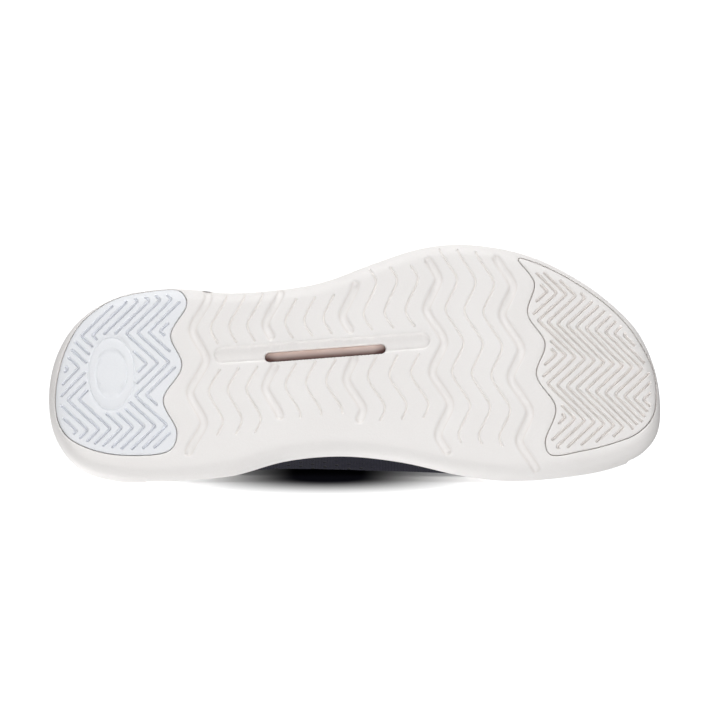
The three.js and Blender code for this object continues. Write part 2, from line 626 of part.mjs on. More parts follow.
function add(name, solid, color, roughness, metalness = 0) {
  const geometry = fromSolid(solid);
  geometry.computeVertexNormals();
  const mesh = new THREE.Mesh(geometry, new THREE.MeshStandardMaterial({ color, roughness, metalness }));
  mesh.name = name;
  group.add(mesh);
}

const WHITE_FOAM = 0xf0efeb;
const WHITE_RUBBER = 0xe6e8ec;
const NAVY_KNIT = 0x0d0c1c;
const NAVY_TRIM = 0x15142a;

add("midsole_rear", midsoleRear, WHITE_FOAM, 0.62);
add("midsole_forefoot", midsoleFront, WHITE_FOAM, 0.62);
add("heel_pad", heelPad, WHITE_RUBBER, 0.55);
add("forefoot_pad", toePad, 0xefece6, 0.55);
add("shank_plate", shankPlate, 0xb88f80, 0.4);
add("lasting_board_rear", boardRear, 0xb9aa8c, 0.85);
add("lasting_board_forefoot", boardFront, 0xb9aa8c, 0.85);
add("insole_rear", insoleRear, 0x23222f, 0.9);
add("insole_forefoot", insoleFront, 0x23222f, 0.9);
add("quarter_lateral", quarterOuter, NAVY_KNIT, 0.88);
add("quarter_medial", quarterInner, NAVY_KNIT, 0.88);
add("toe_box", toeBox, NAVY_KNIT, 0.88);
add("vamp_flex", vampFlex, NAVY_KNIT, 0.88);
add("eyestay_lateral", eyestay(-1), NAVY_TRIM, 0.6);
add("eyestay_medial", eyestay(1), NAVY_TRIM, 0.6);
add("backstay", backstay, NAVY_TRIM, 0.6);
add("toe_guard", toeGuard, NAVY_TRIM, 0.6);
add("collar_padding", padding, 0x3a3944, 0.9);
add("collar_lining", lining, 0x191827, 0.92);
add("heel_counter", counter, 0xcfcabd, 0.5);
add("toe_puff", toePuff, 0xcfcabd, 0.5);
add("tongue_lower", tongueLower, NAVY_KNIT, 0.9);
add("tongue_top", tongueTop, NAVY_KNIT, 0.9);
add("lace", lace, 0x1a1930, 0.8);
add("pull_loop", pullLoop, 0x1a1930, 0.8);

const box = new THREE.Box3().setFromObject(group);
const centre = box.getCenter(new THREE.Vector3());
group.children.forEach((mesh) => mesh.geometry.translate(-centre.x, -centre.y, -box.min.z));

export default group;
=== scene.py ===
import math

import bpy
import numpy as np
from bpy.props import FloatProperty, FloatVectorProperty, IntProperty, PointerProperty
from mathutils import Matrix, Vector
from mathutils.geometry import delaunay_2d_cdt


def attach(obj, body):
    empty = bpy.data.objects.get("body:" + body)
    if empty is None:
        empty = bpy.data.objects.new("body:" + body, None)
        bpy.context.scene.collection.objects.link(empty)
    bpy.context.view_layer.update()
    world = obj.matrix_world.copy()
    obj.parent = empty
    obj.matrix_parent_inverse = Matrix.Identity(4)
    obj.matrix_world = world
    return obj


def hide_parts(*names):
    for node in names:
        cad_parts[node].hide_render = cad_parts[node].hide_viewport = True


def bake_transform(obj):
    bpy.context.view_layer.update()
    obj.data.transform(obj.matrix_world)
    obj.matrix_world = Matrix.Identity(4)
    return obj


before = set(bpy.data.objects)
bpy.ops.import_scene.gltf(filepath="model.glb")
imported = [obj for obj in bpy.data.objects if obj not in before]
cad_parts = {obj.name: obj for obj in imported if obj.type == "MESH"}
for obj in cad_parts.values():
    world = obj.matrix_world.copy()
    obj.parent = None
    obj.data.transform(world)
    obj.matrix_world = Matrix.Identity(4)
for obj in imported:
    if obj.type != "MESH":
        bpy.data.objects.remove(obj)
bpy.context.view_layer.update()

bl_info = {
    "name": "Cheer Shoe",
    "version": (1, 0, 0),
    "blender": (4, 5, 0),
    "location": "View3D > Sidebar > Cheer Shoe",
    "description": "Builds a right cheer shoe: zigzag foam sole, tread pads, knit upper, collar, tongue and lace",
    "category": "Add Mesh",
}

# Lengths are millimetres; +X is the toe, +Y the inner side and +Z up.
MM = 0.001
BALL = ("rearfoot", "forefoot", (0.0275, 0, 0), (0.0775, 0, 0))            # the stretch that bends, metres
TONGUE_ROOT = ("rearfoot", "tongue_top", (-0.011, 0, 0.085), (-0.019, 0, 0.091))
EDGE, EDGE_HEIGHT = 6.0, 7.0                   # rounded edge of the tread
CUP_WALL, PAD_POCKET = 2.8, 3.0
UPPER_INSET, FABRIC = 3.1, 1.8
FILM = 1.4                                     # outer face of the bonded film, above the fabric
THROAT_START, THROAT_END = -60, 34.0
TONGUE_DROP = 5.4
TIPS, RIDGE_ENDS = (-134.0, 134.0), (-112.0, 106.0)
FIRST_HOLE, HOLE_PITCH, HOLE_OUT, HOLE_RADIUS = 29, 9.5, 5.2, 2.3


def norm(v):
    return np.linalg.norm(v, axis=-1)


def unit(v):
    return v / norm(v)[..., None]


def run_length(points):
    """Distance along a row of points, starting at 0."""
    return np.r_[0, np.cumsum(norm(np.diff(points, axis=0)))]


def through(*points):
    """Smooth curve through (x, value) pairs that never overshoots them."""
    xs, values = np.array(points, float).T
    spans = np.diff(xs)
    slopes = np.diff(values) / spans
    behind, ahead = np.r_[slopes[0], slopes], np.r_[slopes, slopes[-1]]
    same = behind * ahead > 0
    tangents = np.where(same, 2 * behind * ahead / np.where(same, behind + ahead, 1), 0)

    def at(x):
        x = np.asarray(x, float)
        i = np.clip(np.searchsorted(xs, x, "right") - 1, 0, len(spans) - 1)
        t = np.clip((x - xs[i]) / spans[i], 0, 1)
        return (values[i] + (values[i + 1] - values[i]) * t * t * (3 - 2 * t)
                + spans[i] * (tangents[i] * t * (1 - t) ** 2 + tangents[i + 1] * t * t * (t - 1)))
    return at


def smooth(low, high, x):
    t = np.clip((np.asarray(x, float) - low) / (high - low), 0, 1)
    return t * t * (3 - 2 * t)


def turns(count):
    """Unit circle, one row for each point."""
    a = np.arange(count) / count * 2 * math.pi
    return np.stack([np.cos(a), np.sin(a)], 1)


def plan(first, second):
    """Two grids of even steps; each span is from, to, count."""
    return np.meshgrid(np.linspace(*first), np.linspace(*second), indexing="ij")


def sides(a):
    """Splits a signed value into the side of the shoe and its size."""
    return np.where(a < 0, -1, 1), np.abs(a)


# heights and widths along the shoe
tread_z = through((-134, 4.5), (-122, 1.2), (-108, 0), (68, 0), (88, 0.8), (104, 3), (120, 6), (134, 9.5))
floor_z = through((-134, 22), (-80, 21), (-20, 18.5), (40, 14.5), (80, 14.5), (110, 18), (134, 23))
lip_z = through((-134, 30), (-80, 28.5), (-20, 25), (40, 22), (80, 22.5), (110, 27), (134, 32.5))
ridge_z = through((-112, 102), (-80, 110), (-50, 111), (-30, 103), (-10, 90), (10, 78.5), (30, 69),
                  (50, 61.5), (70, 55.5), (90, 50.5), (106, 46))
ridge_y = through((-112, 10), (-60, 9), (0, 6), (50, 5), (90, 12), (106, 20))
swell_inner = through((-134, 2.2), (-118, 2.2), (-80, 4), (-40, 8), (0, 10.5), (40, 6), (70, 3.2), (115, 2), (134, 2))
swell_outer = through((-134, 2.2), (-118, 2.2), (-40, 4), (0, 4.5), (50, 3), (115, 2), (134, 2))
top_line = through((-140, 80), (-118, 76), (-100, 67), (-80, 61), (-58, 62), (-35, 70), (-12, 83), (20, 110))
throat_half = through((-30, 17), (0, 13.5), (34, 8))

OUTLINE = [
    (-134, 15), (-130.5, -3), (-121, -17.5), (-104, -28), (-80, -31.8), (-56, -30), (-37, -31),
    (-15, -34.5), (8, -43), (26, -49), (42, -51.5), (60, -50.3), (78, -45.8), (96, -37.2), (111, -27),
    (124, -14), (131.5, 2), (134, 19), (132.5, 31), (126, 39.5), (112, 45.8), (92, 49.8), (68, 51.6),
    (44, 49), (18, 43.6), (-6, 41.2), (-30, 43.2), (-54, 49.6), (-80, 52.6), (-104, 52), (-121, 46.5), (-131, 33)]
TOE_INDEX = 17
HEEL_PAD = [
    (-77, -30.2), (-73.5, -24.5), (-80.5, -10.5), (-75.5, 3), (-83.5, 18), (-77.5, 32), (-80, 39.5),
    (-98, 42), (-114, 39.5), (-125, 33.5), (-129.5, 25.5), (-130.3, 14), (-128.5, 3.5), (-126, -4.5),
    (-120.5, -14.5), (-114, -21), (-105, -26.5), (-92, -29.6)]
TOE_PAD = [
    (78.3, -42.6), (92, -36.3), (108.6, -25.5), (119.5, -15.2), (127, -4), (130.6, 3.5), (131.8, 14), (130, 24),
    (123.3, 31.5), (113, 36), (99, 39.8), (84.8, 41.5), (82.8, 36.5), (87.5, 21.3), (79.2, 7), (83, -7),
    (75.5, -20), (78.5, -33.5), (71.5, -44.2)]
EYESTAY = [(-9.5, -0.3), (8, -0.3), (28, -0.3), (34, 1.2), (35.2, 4.6), (33, 8.2), (22, 9.2), (6, 10.3),
           (-7, 11), (-12, 9), (-13, 4.6), (-12, 1)]                       # along, out from the throat's edge
PULL_LOOP = [(-131.4, 67.3), (-130.9, 70), (-129.8, 78.5), (-128.4, 90.3), (-129.2, 93), (-131.2, 92.9),
             (-132.7, 87.8), (-133.1, 80), (-132.5, 70.5), (-132.0, 67.3)]
COLLAR = [                                                                 # depth, way past the top line
    (-0.1, -2.4), (-0.5, -2.5), (-0.8, -1.9), (-0.8, -0.6), (-0.3, 0.8), (0.9, 1.8), (2.6, 2.4), (4.4, 2.1),
    (6.0, 1.0), (7.1, -0.8), (7.8, -3.5), (8.3, -7), (8.5, -11), (8.3, -15), (7.8, -19), (7.4, -23), (7.1, -27),
    (6.6, -27.6), (5.9, -27.2), (3.4, -25), (2.1, -22), (2.1, -12), (2.1, -3), (2.1, 0.3), (1.0, 0.4), (-0.1, 0.2)]

ROW_PITCH, ROW_FIRST, ZIG = 13.8, -27.0, 3.2
row_drift = through((-134, 4), (-68, 0), (-34, -2.5), (1, -6), (36, -8.5), (70, -5.5), (88, -2.8), (134, 4))
row_lean = through((-68, -0.03), (-34, 0), (1, 0.06), (36, 0.09), (70, 0.13), (110, 0.15))
WIDE_GROOVES = [                               # place along the sole, then its spans in rows
    (-68, [(-0.3, 4.9)]), (-35.7, [(0.05, 1.4), (2.4, 3.95)]), (-1.3, [(0.05, 1.45), (2.4, 4.3)]),
    (35.7, [(-0.55, 5.5)]), (69.3, [(-0.8, 5.8)])]
THIN_SPANS = [
    [(0, 1.5), (2.35, 4.4)], [(0.3, 1.5), (2.35, 4.05)], [(-0.4, 1.5), (2.4, 4.4)], [(-0.95, 5.2)]]
SLOT = ((-61.3, -1.3), (32.6, -8.3), 3.5)      # from, to, half width
WINDOW = ((-39.3, -0.9), (13.4, -4.9), 2.15)
BADGE = (-106.0, 6.5, 10.0, 15.5)              # centre and half sizes of the plain oval on the heel pad


# ------------------------------------------------------------------ outlines and the shape of the upper
class Loop:
    """Smooth closed curve through points, kept as a dense row of points."""

    def __init__(self, points, per_span=60):
        p = np.array(points, float)
        k = np.arange(len(p) * per_span)
        i, t = k // per_span, (k % per_span / per_span)[:, None]
        a, b, c, d = (p[(i + o) % len(p)] for o in (-1, 0, 1, 2))
        da, db, dc = (norm(v - u)[:, None] ** 0.5 for u, v in ((a, b), (b, c), (c, d)))
        t1 = ((b - a) / da - (c - a) / (da + db) + (c - b) / db) * db
        t2 = ((c - b) / db - (d - b) / (db + dc) + (d - c) / dc) * db
        self.points = b + t1 * t + (-3 * b + 3 * c - 2 * t1 - t2) * t ** 2 + (2 * b - 2 * c + t1 + t2) * t ** 3
        self.closed = np.vstack([self.points, self.points[:1]])
        length = run_length(self.closed)
        self.share = length / length[-1]
        tangent = unit(np.roll(self.points, -1, 0) - np.roll(self.points, 1, 0))
        self.tangent = np.vstack([tangent, tangent[:1]])
        self.mark = self.share[::per_span]

    def at(self, u, inset=0.0):
        u = np.mod(u, 1)
        x, y, tx, ty = (np.interp(u, self.share, table[:, j]) for table in (self.closed, self.tangent) for j in (0, 1))
        return np.stack([x - ty * inset, y + tx * inset], -1)

    def ring(self, count, inset=0.0):
        return self.at(np.arange(count) / count, inset)

    def depth_inside(self, xy, count=420):
        """Distance to the curve, positive inside."""
        a = self.ring(count)
        b = np.roll(a, -1, 0)
        d = b - a
        out, inside = np.empty(len(xy)), np.empty(len(xy), bool)
        for start in range(0, len(xy), 4000):
            some = slice(start, start + 4000)
            p = xy[some, None]
            t = np.clip(((p - a) * d).sum(-1) / (d ** 2).sum(-1), 0, 1)
            out[some] = norm(p - a - t[..., None] * d).min(1)
            crosses = (a[:, 1] > p[..., 1]) != (b[:, 1] > p[..., 1])
            at_x = a[:, 0] + (p[..., 1] - a[:, 1]) * d[:, 0] / np.where(d[:, 1] == 0, 1e-9, d[:, 1])
            inside[some] = (crosses & (p[..., 0] < at_x)).sum(1) % 2 == 1
        return np.where(inside, out, -out)


outline = Loop(OUTLINE)
TOE_SHARE = outline.mark[TOE_INDEX]


def edge(side, s, inset):
    """Point of the sole's outline; side is -1 outer or +1 inner, s runs from heel 0 to toe 1."""
    s = np.asarray(s, float)
    return outline.at(np.where(np.asarray(side) < 0, TOE_SHARE * s, 1 - (1 - TOE_SHARE) * s), inset)


def between(s, inset, count):
    """Rows of points across the sole, from its outer to its inner edge."""
    k = np.linspace(0, 1, count)[:, None]
    return edge(-1, s, inset)[:, None] * (1 - k) + edge(1, s, inset)[:, None] * k


def ridge(s):
    """The line on top where both sides of the upper would meet."""
    middle = (edge(-1, s, 0)[..., 0] + edge(1, s, 0)[..., 0]) / 2
    x = RIDGE_ENDS[0] + (RIDGE_ENDS[1] - RIDGE_ENDS[0]) * (middle - TIPS[0]) / (TIPS[1] - TIPS[0])
    return x, ridge_y(x)


def upper(side, s, v, depth):
    """Point of the upper, depth below its outer surface; v runs from the sole 0 to the ridge 1."""
    side, s, v, depth = np.broadcast_arrays(*(np.asarray(k, float) for k in (side, s, v, depth)))
    foot, out = edge(side, s, UPPER_INSET + depth), edge(side, s, UPPER_INSET + depth - 1)
    x, y = ridge(s)
    angle = v * math.pi / 2
    reach = np.maximum(np.cos(angle), 0) ** (2 / 2.5)
    rise = np.sin(np.maximum(angle, 0)) ** (2 / 2.15)
    swell = (np.where(side > 0, swell_inner(foot[..., 0]), swell_outer(foot[..., 0]))
             * smooth(0.1, 0.34, v) * (1 - smooth(0.34, 0.92, v)))
    low = floor_z(foot[..., 0]) + 0.3
    here = x + (foot[..., 0] - x) * reach
    return np.stack([here + (out[..., 0] - foot[..., 0]) * swell,
                     y + (foot[..., 1] - y) * reach + (out[..., 1] - foot[..., 1]) * swell,
                     low + (ridge_z(here) - depth - low) * rise], -1)


def halving(shape, low, high, is_low):
    low, high = np.full(shape, low, float), np.full(shape, high, float)
    for _ in range(24):
        middle = (low + high) / 2
        keep = is_low(middle)
        low, high = np.where(keep, middle, low), np.where(keep, high, middle)
    return (low + high) / 2


def top_level(side, s):
    """Where the fabric ends: 1 where both sides meet on the ridge, less along the throat and the top line."""
    def covered(v):
        x, y, z = np.moveaxis(upper(side, s, v, 0), -1, 0)
        half = throat_half(x) * np.sqrt(1 - np.clip((x - THROAT_END + 7) / 7, 0, 1) ** 2)
        in_throat = (x > THROAT_START) & (x < THROAT_END) & (np.abs(y - ridge_y(x)) < half)
        eased = sum(top_line(x + d) for d in range(-20, 21, 4)) / 11
        return ~(in_throat | (z > eased)) | (z < 45)
    level = halving(np.shape(s), 0.12, 1, covered)
    return np.where(level > 0.9995, 1.0, level)


TABLE_S = np.linspace(0, 1, 2001)
TABLE_RIDGE_X = ridge(TABLE_S)[0]


def station(x):
    return np.interp(x, TABLE_RIDGE_X, TABLE_S)


def level_out(side, s, out):
    """The level at which the surface is that far out from the ridge line."""
    return halving(np.shape(s), 0.15, 1, lambda v: np.abs(upper(side, s, v, 0)[..., 1] - ridge(s)[1]) > out)


def level_height(side, s, z):
    return halving(np.shape(s), 0, 0.9, lambda v: upper(side, s, v, 0)[..., 2] < z)


def level_above_floor(side, s, rise):
    return level_height(side, s, floor_z(edge(side, s, 0)[..., 0]) + rise)


# ------------------------------------------------------------------ meshes
def grid_faces(rows, cols, start=0, wrap=False, flip=False):
    r, c = np.meshgrid(np.arange(rows - 1), np.arange(cols if wrap else cols - 1), indexing="ij")
    a, b = (r * cols + c).ravel(), (r * cols + (c + 1) % cols).ravel()
    d, e = a + cols, b + cols
    return np.stack([a, d, e, b] if flip else [a, b, e, d], 1) + start


def make(name, points, faces, uv=None, values=None, weld=0.0):
    """Mesh object from points in millimetres."""
    mesh = bpy.data.meshes.new(name)
    mesh.from_pydata((np.asarray(points, float).reshape(-1, 3) * MM).tolist(), [],
                     [list(map(int, f)) for f in faces])
    if uv is not None:
        corners = np.empty(len(mesh.loops), int)
        mesh.loops.foreach_get("vertex_index", corners)
        layer = mesh.uv_layers.new(name="cloth")
        layer.data.foreach_set("uv", np.asarray(uv, np.float32).reshape(-1, 2)[corners].ravel())
    # The groove attribute holds each piece's painted shade, and on the knit the places of its eyelets.
    if values is not None:
        mesh.attributes.new("groove", "FLOAT", "POINT").data.foreach_set("value", np.asarray(values, np.float32))
    mesh.validate()
    mesh.shade_smooth()
    obj = bpy.data.objects.new(name, mesh)
    bpy.context.scene.collection.objects.link(obj)
    if weld:
        change(obj, "WELD", merge_threshold=weld * MM)
    return obj


def change(obj, kind, **settings):
    """Adds a modifier and makes its result the object's own mesh."""
    modifier = obj.modifiers.new(kind.title(), kind)
    for key, value in settings.items():
        setattr(modifier, key, value)
    bpy.context.view_layer.update()
    old = obj.data
    done = bpy.data.meshes.new_from_object(obj.evaluated_get(bpy.context.evaluated_depsgraph_get()))
    obj.modifiers.clear()
    obj.data = done
    bpy.data.meshes.remove(old)


def round_edges(obj, width):
    change(obj, "BEVEL", width=width * MM, segments=2, limit_method="ANGLE", angle_limit=math.radians(50))


def fit(obj, name, nodes, where, angle=60):
    """Gives a piece its look, hides the CAD nodes it stands for, and hangs it on the body it rides; a piece that spans
    two bodies keeps its place baked into its mesh.
    """
    if angle:
        change(obj, "EDGE_SPLIT", split_angle=math.radians(angle), use_edge_sharp=False)
    obj.data.materials.clear()
    obj.data.materials.append(look(name))
    if nodes:
        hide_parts(*nodes.split())
    if isinstance(where, str):
        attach(obj, where)
    else:
        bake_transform(obj)


def slab(outer, inner, wrap=False):
    """Closed body between two sheets of points with the same rows and columns."""
    rows, cols = outer.shape[:2]
    count = rows * cols
    faces = [grid_faces(rows, cols, 0, wrap), grid_faces(rows, cols, count, wrap, flip=True)]
    rims = [(np.arange(cols), False), ((rows - 1) * cols + np.arange(cols), True)]
    if not wrap:
        left = np.arange(rows) * cols
        rims += [(left, True), (left + cols - 1, False)]
    for a, flip in rims:
        i = np.arange(len(a) if wrap else len(a) - 1)
        one, two = a[i], a[(i + 1) % len(a)]
        faces.append(np.stack([one, two, two + count, one + count] if flip else
                              [one, one + count, two + count, two], 1))
    return np.concatenate([outer.reshape(-1, 3), inner.reshape(-1, 3)]), np.concatenate(faces)


def shell(name, place, outer, inner, uv=None, weld=0.0, flip=False):
    """Part of the upper's thickness over place, which is side, s and v, between two depths."""
    points, faces = slab(upper(*place, outer), upper(*place, inner))
    if uv is not None:
        uv = np.tile(np.stack(uv, -1).reshape(-1, 2), (2, 1))
    return make(name, points, faces[:, ::-1] if flip else faces, uv=uv, weld=weld)


def triangulate(points, loops, keep):
    """Even triangles over points seen from above; loops are rows of points that stay edges."""
    parts, edges, count = [points], [], len(points)
    for ring in loops:
        index = count + np.arange(len(ring))
        edges += list(zip(index.tolist(), np.roll(index, -1).tolist()))
        parts.append(ring)
        count += len(ring)
    found = delaunay_2d_cdt([Vector(p) for p in np.concatenate(parts).tolist()], edges, [], 0, 1e-5)
    xy, faces = np.array([tuple(p) for p in found[0]]), np.array(found[2], int)
    used, back = np.unique(faces[keep(xy[faces].mean(1))], return_inverse=True)
    return xy[used], back.reshape(-1, 3)


def two_sheets(faces, first, second):
    """Closed body from one triangulation placed twice, joined along its open edges."""
    count = len(first)
    directed = np.concatenate([faces[:, [0, 1]], faces[:, [1, 2]], faces[:, [2, 0]]])
    keys = {(int(a), int(b)) for a, b in directed}
    rim = [(b, a, a + count, b + count) for a, b in sorted(keys) if (b, a) not in keys]
    return np.concatenate([first, second]), [*faces.tolist(), *(faces[:, ::-1] + count).tolist(), *rim]


def capped(rows, cols):
    """Faces of a tube of rings, closed at both ends."""
    return [*grid_faces(rows, cols, wrap=True).tolist(), list(range(cols))[::-1],
            [(rows - 1) * cols + k for k in range(cols)]]


# ------------------------------------------------------------------ shader maths
class Maths:
    """Wraps a shader socket so that node arithmetic reads like arithmetic."""

    def __init__(self, tree, socket=None):
        self.tree, self.socket = tree, socket

    def node(self, kind, out=0, settings=None, **inputs):
        """Adds a node: its settings first, then the values or links of its sockets, by name or as i and a number."""
        node = self.tree.nodes.new(kind)
        for key, value in (settings or {}).items():
            setattr(node, key, value)
        for key, value in inputs.items():
            socket = node.inputs[int(key[1:]) if key[1:].isdigit() else key.replace("_", " ")]
            if isinstance(value, Maths):
                self.tree.links.new(value.socket, socket)
            else:
                socket.default_value = (*value[:3], 1) if socket.type == "RGBA" else value
        return Maths(self.tree, node.outputs[out])

    def step(self, low, high):
        return self.node("ShaderNodeMapRange", 0, {"interpolation_type": "SMOOTHSTEP"},
                         Value=self, From_Min=low, From_Max=high)

    def part(self, axis):
        return self.node("ShaderNodeSeparateXYZ", "XYZ".index(axis), Vector=self)

    def mix(self, low, high):
        """This value picks between two colours."""
        return self.node("ShaderNodeMix", 2, {"data_type": "RGBA"}, i0=self, i6=low, i7=high)

    def noise(self, scale, detail=3.0, roughness=0.55, stretch=(1, 1, 1)):
        stretched = self.node("ShaderNodeVectorMath", 0, {"operation": "MULTIPLY"}, i0=self, i1=stretch)
        return self.node("ShaderNodeTexNoise", Vector=stretched, Scale=scale, Detail=detail, Roughness=roughness)

    def cells(self, scale):
        return self.node("ShaderNodeTexVoronoi", Vector=self, Scale=scale)


def _maths(operation, reflected=False):
    """A method that adds one Math node."""
    def run(self, *others):
        values = (*others, self) if reflected else (self, *others)
        return self.node("ShaderNodeMath", 0, {"operation": operation}, **{f"i{n}": v for n, v in enumerate(values)})
    return run


for _name, _operation in (("add", "ADD"), ("sub", "SUBTRACT"), ("mul", "MULTIPLY"), ("truediv", "DIVIDE"),
                          ("pow", "POWER"), ("mod", "FLOORED_MODULO")):
    setattr(Maths, f"__{_name}__", _maths(_operation))
    setattr(Maths, f"__r{_name}__", _maths(_operation, reflected=True))
for _name, _operation in (("sin", "SINE"), ("abs", "ABSOLUTE"), ("floor", "FLOOR"), ("least", "MINIMUM"),
                          ("most", "MAXIMUM")):
    setattr(Maths, _name, _maths(_operation))


def linear(colour):
    return tuple(c / 12.92 if c <= 0.04045 else ((c + 0.055) / 1.055) ** 2.4 for c in colour)


def scaled(colour, share):
    return tuple(k * share for k in colour)


# Each paint gives a colour, a roughness and its bumps as height, strength and distance.
def foam_paint(place, uv, groove, colour, shade, painted_shade, groove_shade_tone):
    cloud, grain = place.noise(26, 4), place.noise(1500, 2, 0.6)
    pores = place.cells(1100).step(0.0, 0.55)
    flat = (cloud * 0.6 + grain * 0.4).step(0.25, 0.8).mix(shade, colour)
    # Painted shade: where the groove attribute marks grooves, pad gaps and badge lines, the colour turns towards a
    # shaded tint, standing in for shade in these recesses.
    deep = groove.step(0.1, 1.0) * painted_shade
    return (deep.mix(flat, tuple(k * t for k, t in zip(shade, groove_shade_tone))), 0.52 + 0.18 * cloud + 0.06 * grain,
            [(pores, 0.16, 0.0002), (grain, 0.2, 0.0001), (cloud, 0.05, 0.001)])


def knit_paint(place, uv, groove, colour, light, holes, cell):
    """Close knit: columns of slanted loops, with small eyelets where the piece is marked for them."""
    column = ((uv.part("X") / cell[0]) % 1.0 - 0.5).abs() * 2.0
    loop = ((uv.part("Y") / cell[1] + column * 0.62) % 1.0 - 0.5).abs() * 2.0
    yarn = (1.0 - loop ** 2.2) * (1.0 - (column * 0.9) ** 4.0) * (0.35 + 0.65 * column.step(0.0, 0.35))
    fuzz, cloud = place.noise(2600, 3, 0.7), place.noise(45, 3)
    base, height = (yarn * 0.75 + fuzz * 0.3 + cloud * 0.2).step(0.3, 1.2).mix(colour, light), yarn
    if holes:
        across = uv.part("X") / holes[0]
        x, y = across % 1.0 - 0.5, (uv.part("Y") / holes[1] + across.floor() * 0.5) % 1.0 - 0.5
        opening = (1.0 - ((x * x * 1.6 + y * y) ** 0.5).step(0.13, 0.21)) * groove
        base = opening.mix(base, scaled(colour, 0.25))
        height = yarn * (1.0 - opening) - opening * 1.6
    return base, 0.74 + 0.18 * fuzz, [(height, 0.55, 0.0004), (fuzz, 0.25, 0.0001)]


def film_paint(place, uv, groove, colour, light):
    grain, cloud = place.cells(1500).step(0.1, 0.7), place.noise(60, 3)
    lines = ((uv.part("X") * 1.6).sin() * (uv.part("Y") * 1.6).sin()).abs()
    return ((cloud * 0.7 + lines * 0.3).step(0.2, 0.9).mix(colour, light), 0.34 + 0.16 * cloud + 0.1 * grain,
            [(grain, 0.18, 0.0001), (lines, 0.12, 0.0002)])


def braid_paint(place, uv, groove, colour, light, pitch):
    """Two sets of threads crossing on the slant."""
    u, v = uv.part("X") / pitch, uv.part("Y") / pitch
    thread = ((u + v) * math.pi).sin().abs().most(((u - v) * math.pi).sin().abs())
    fuzz = place.noise(3500, 3, 0.7)
    return ((thread * 0.7 + fuzz * 0.35).step(0.35, 1.05).mix(colour, light), 0.66 + 0.2 * fuzz,
            [(thread, 0.7, 0.0003), (fuzz, 0.2, 0.0001)])


def mesh_paint(place, uv, groove, colour, light, cell):
    """Brushed spacer mesh: staggered round openings in a soft face."""
    row = uv.part("Y") / cell
    x, y = (uv.part("X") / cell + row.floor() * 0.5) % 1.0 - 0.5, row % 1.0 - 0.5
    face = ((x * x + y * y) ** 0.5).step(0.18, 0.42)
    fuzz = place.noise(2200, 4, 0.7)
    return ((face * 0.7 + fuzz * 0.4).step(0.2, 1.05).mix(colour, light), 0.8 + 0.15 * fuzz,
            [(face, 0.5, 0.0003), (fuzz, 0.35, 0.0002)])


def fibre_paint(place, uv, groove, colour, light):
    cross = place.noise(420, 4, 0.65, (6, 1, 1))
    fibres = place.noise(420, 4, 0.65, (1, 6, 1)) * 0.5 + cross * 0.5
    return fibres.step(0.3, 0.7).mix(colour, light), 0.7 + 0.2 * cross, [(fibres, 0.3, 0.0002)]


def plastic_paint(place, uv, groove, colour, light, painted_shade=None):
    flow, grain = place.noise(38, 4, 0.5, (1, 4, 1)), place.noise(1800, 2)
    tone = flow.step(0.25, 0.75).mix(colour, light)
    # Where the groove attribute marks it, the colour turns towards the painted shade colour.
    return (groove.mix(tone, painted_shade) if painted_shade else tone, 0.3 + 0.2 * flow + 0.08 * grain,
            [(grain, 0.12, 0.0001), (flow, 0.05, 0.0006)])


_looks = {}


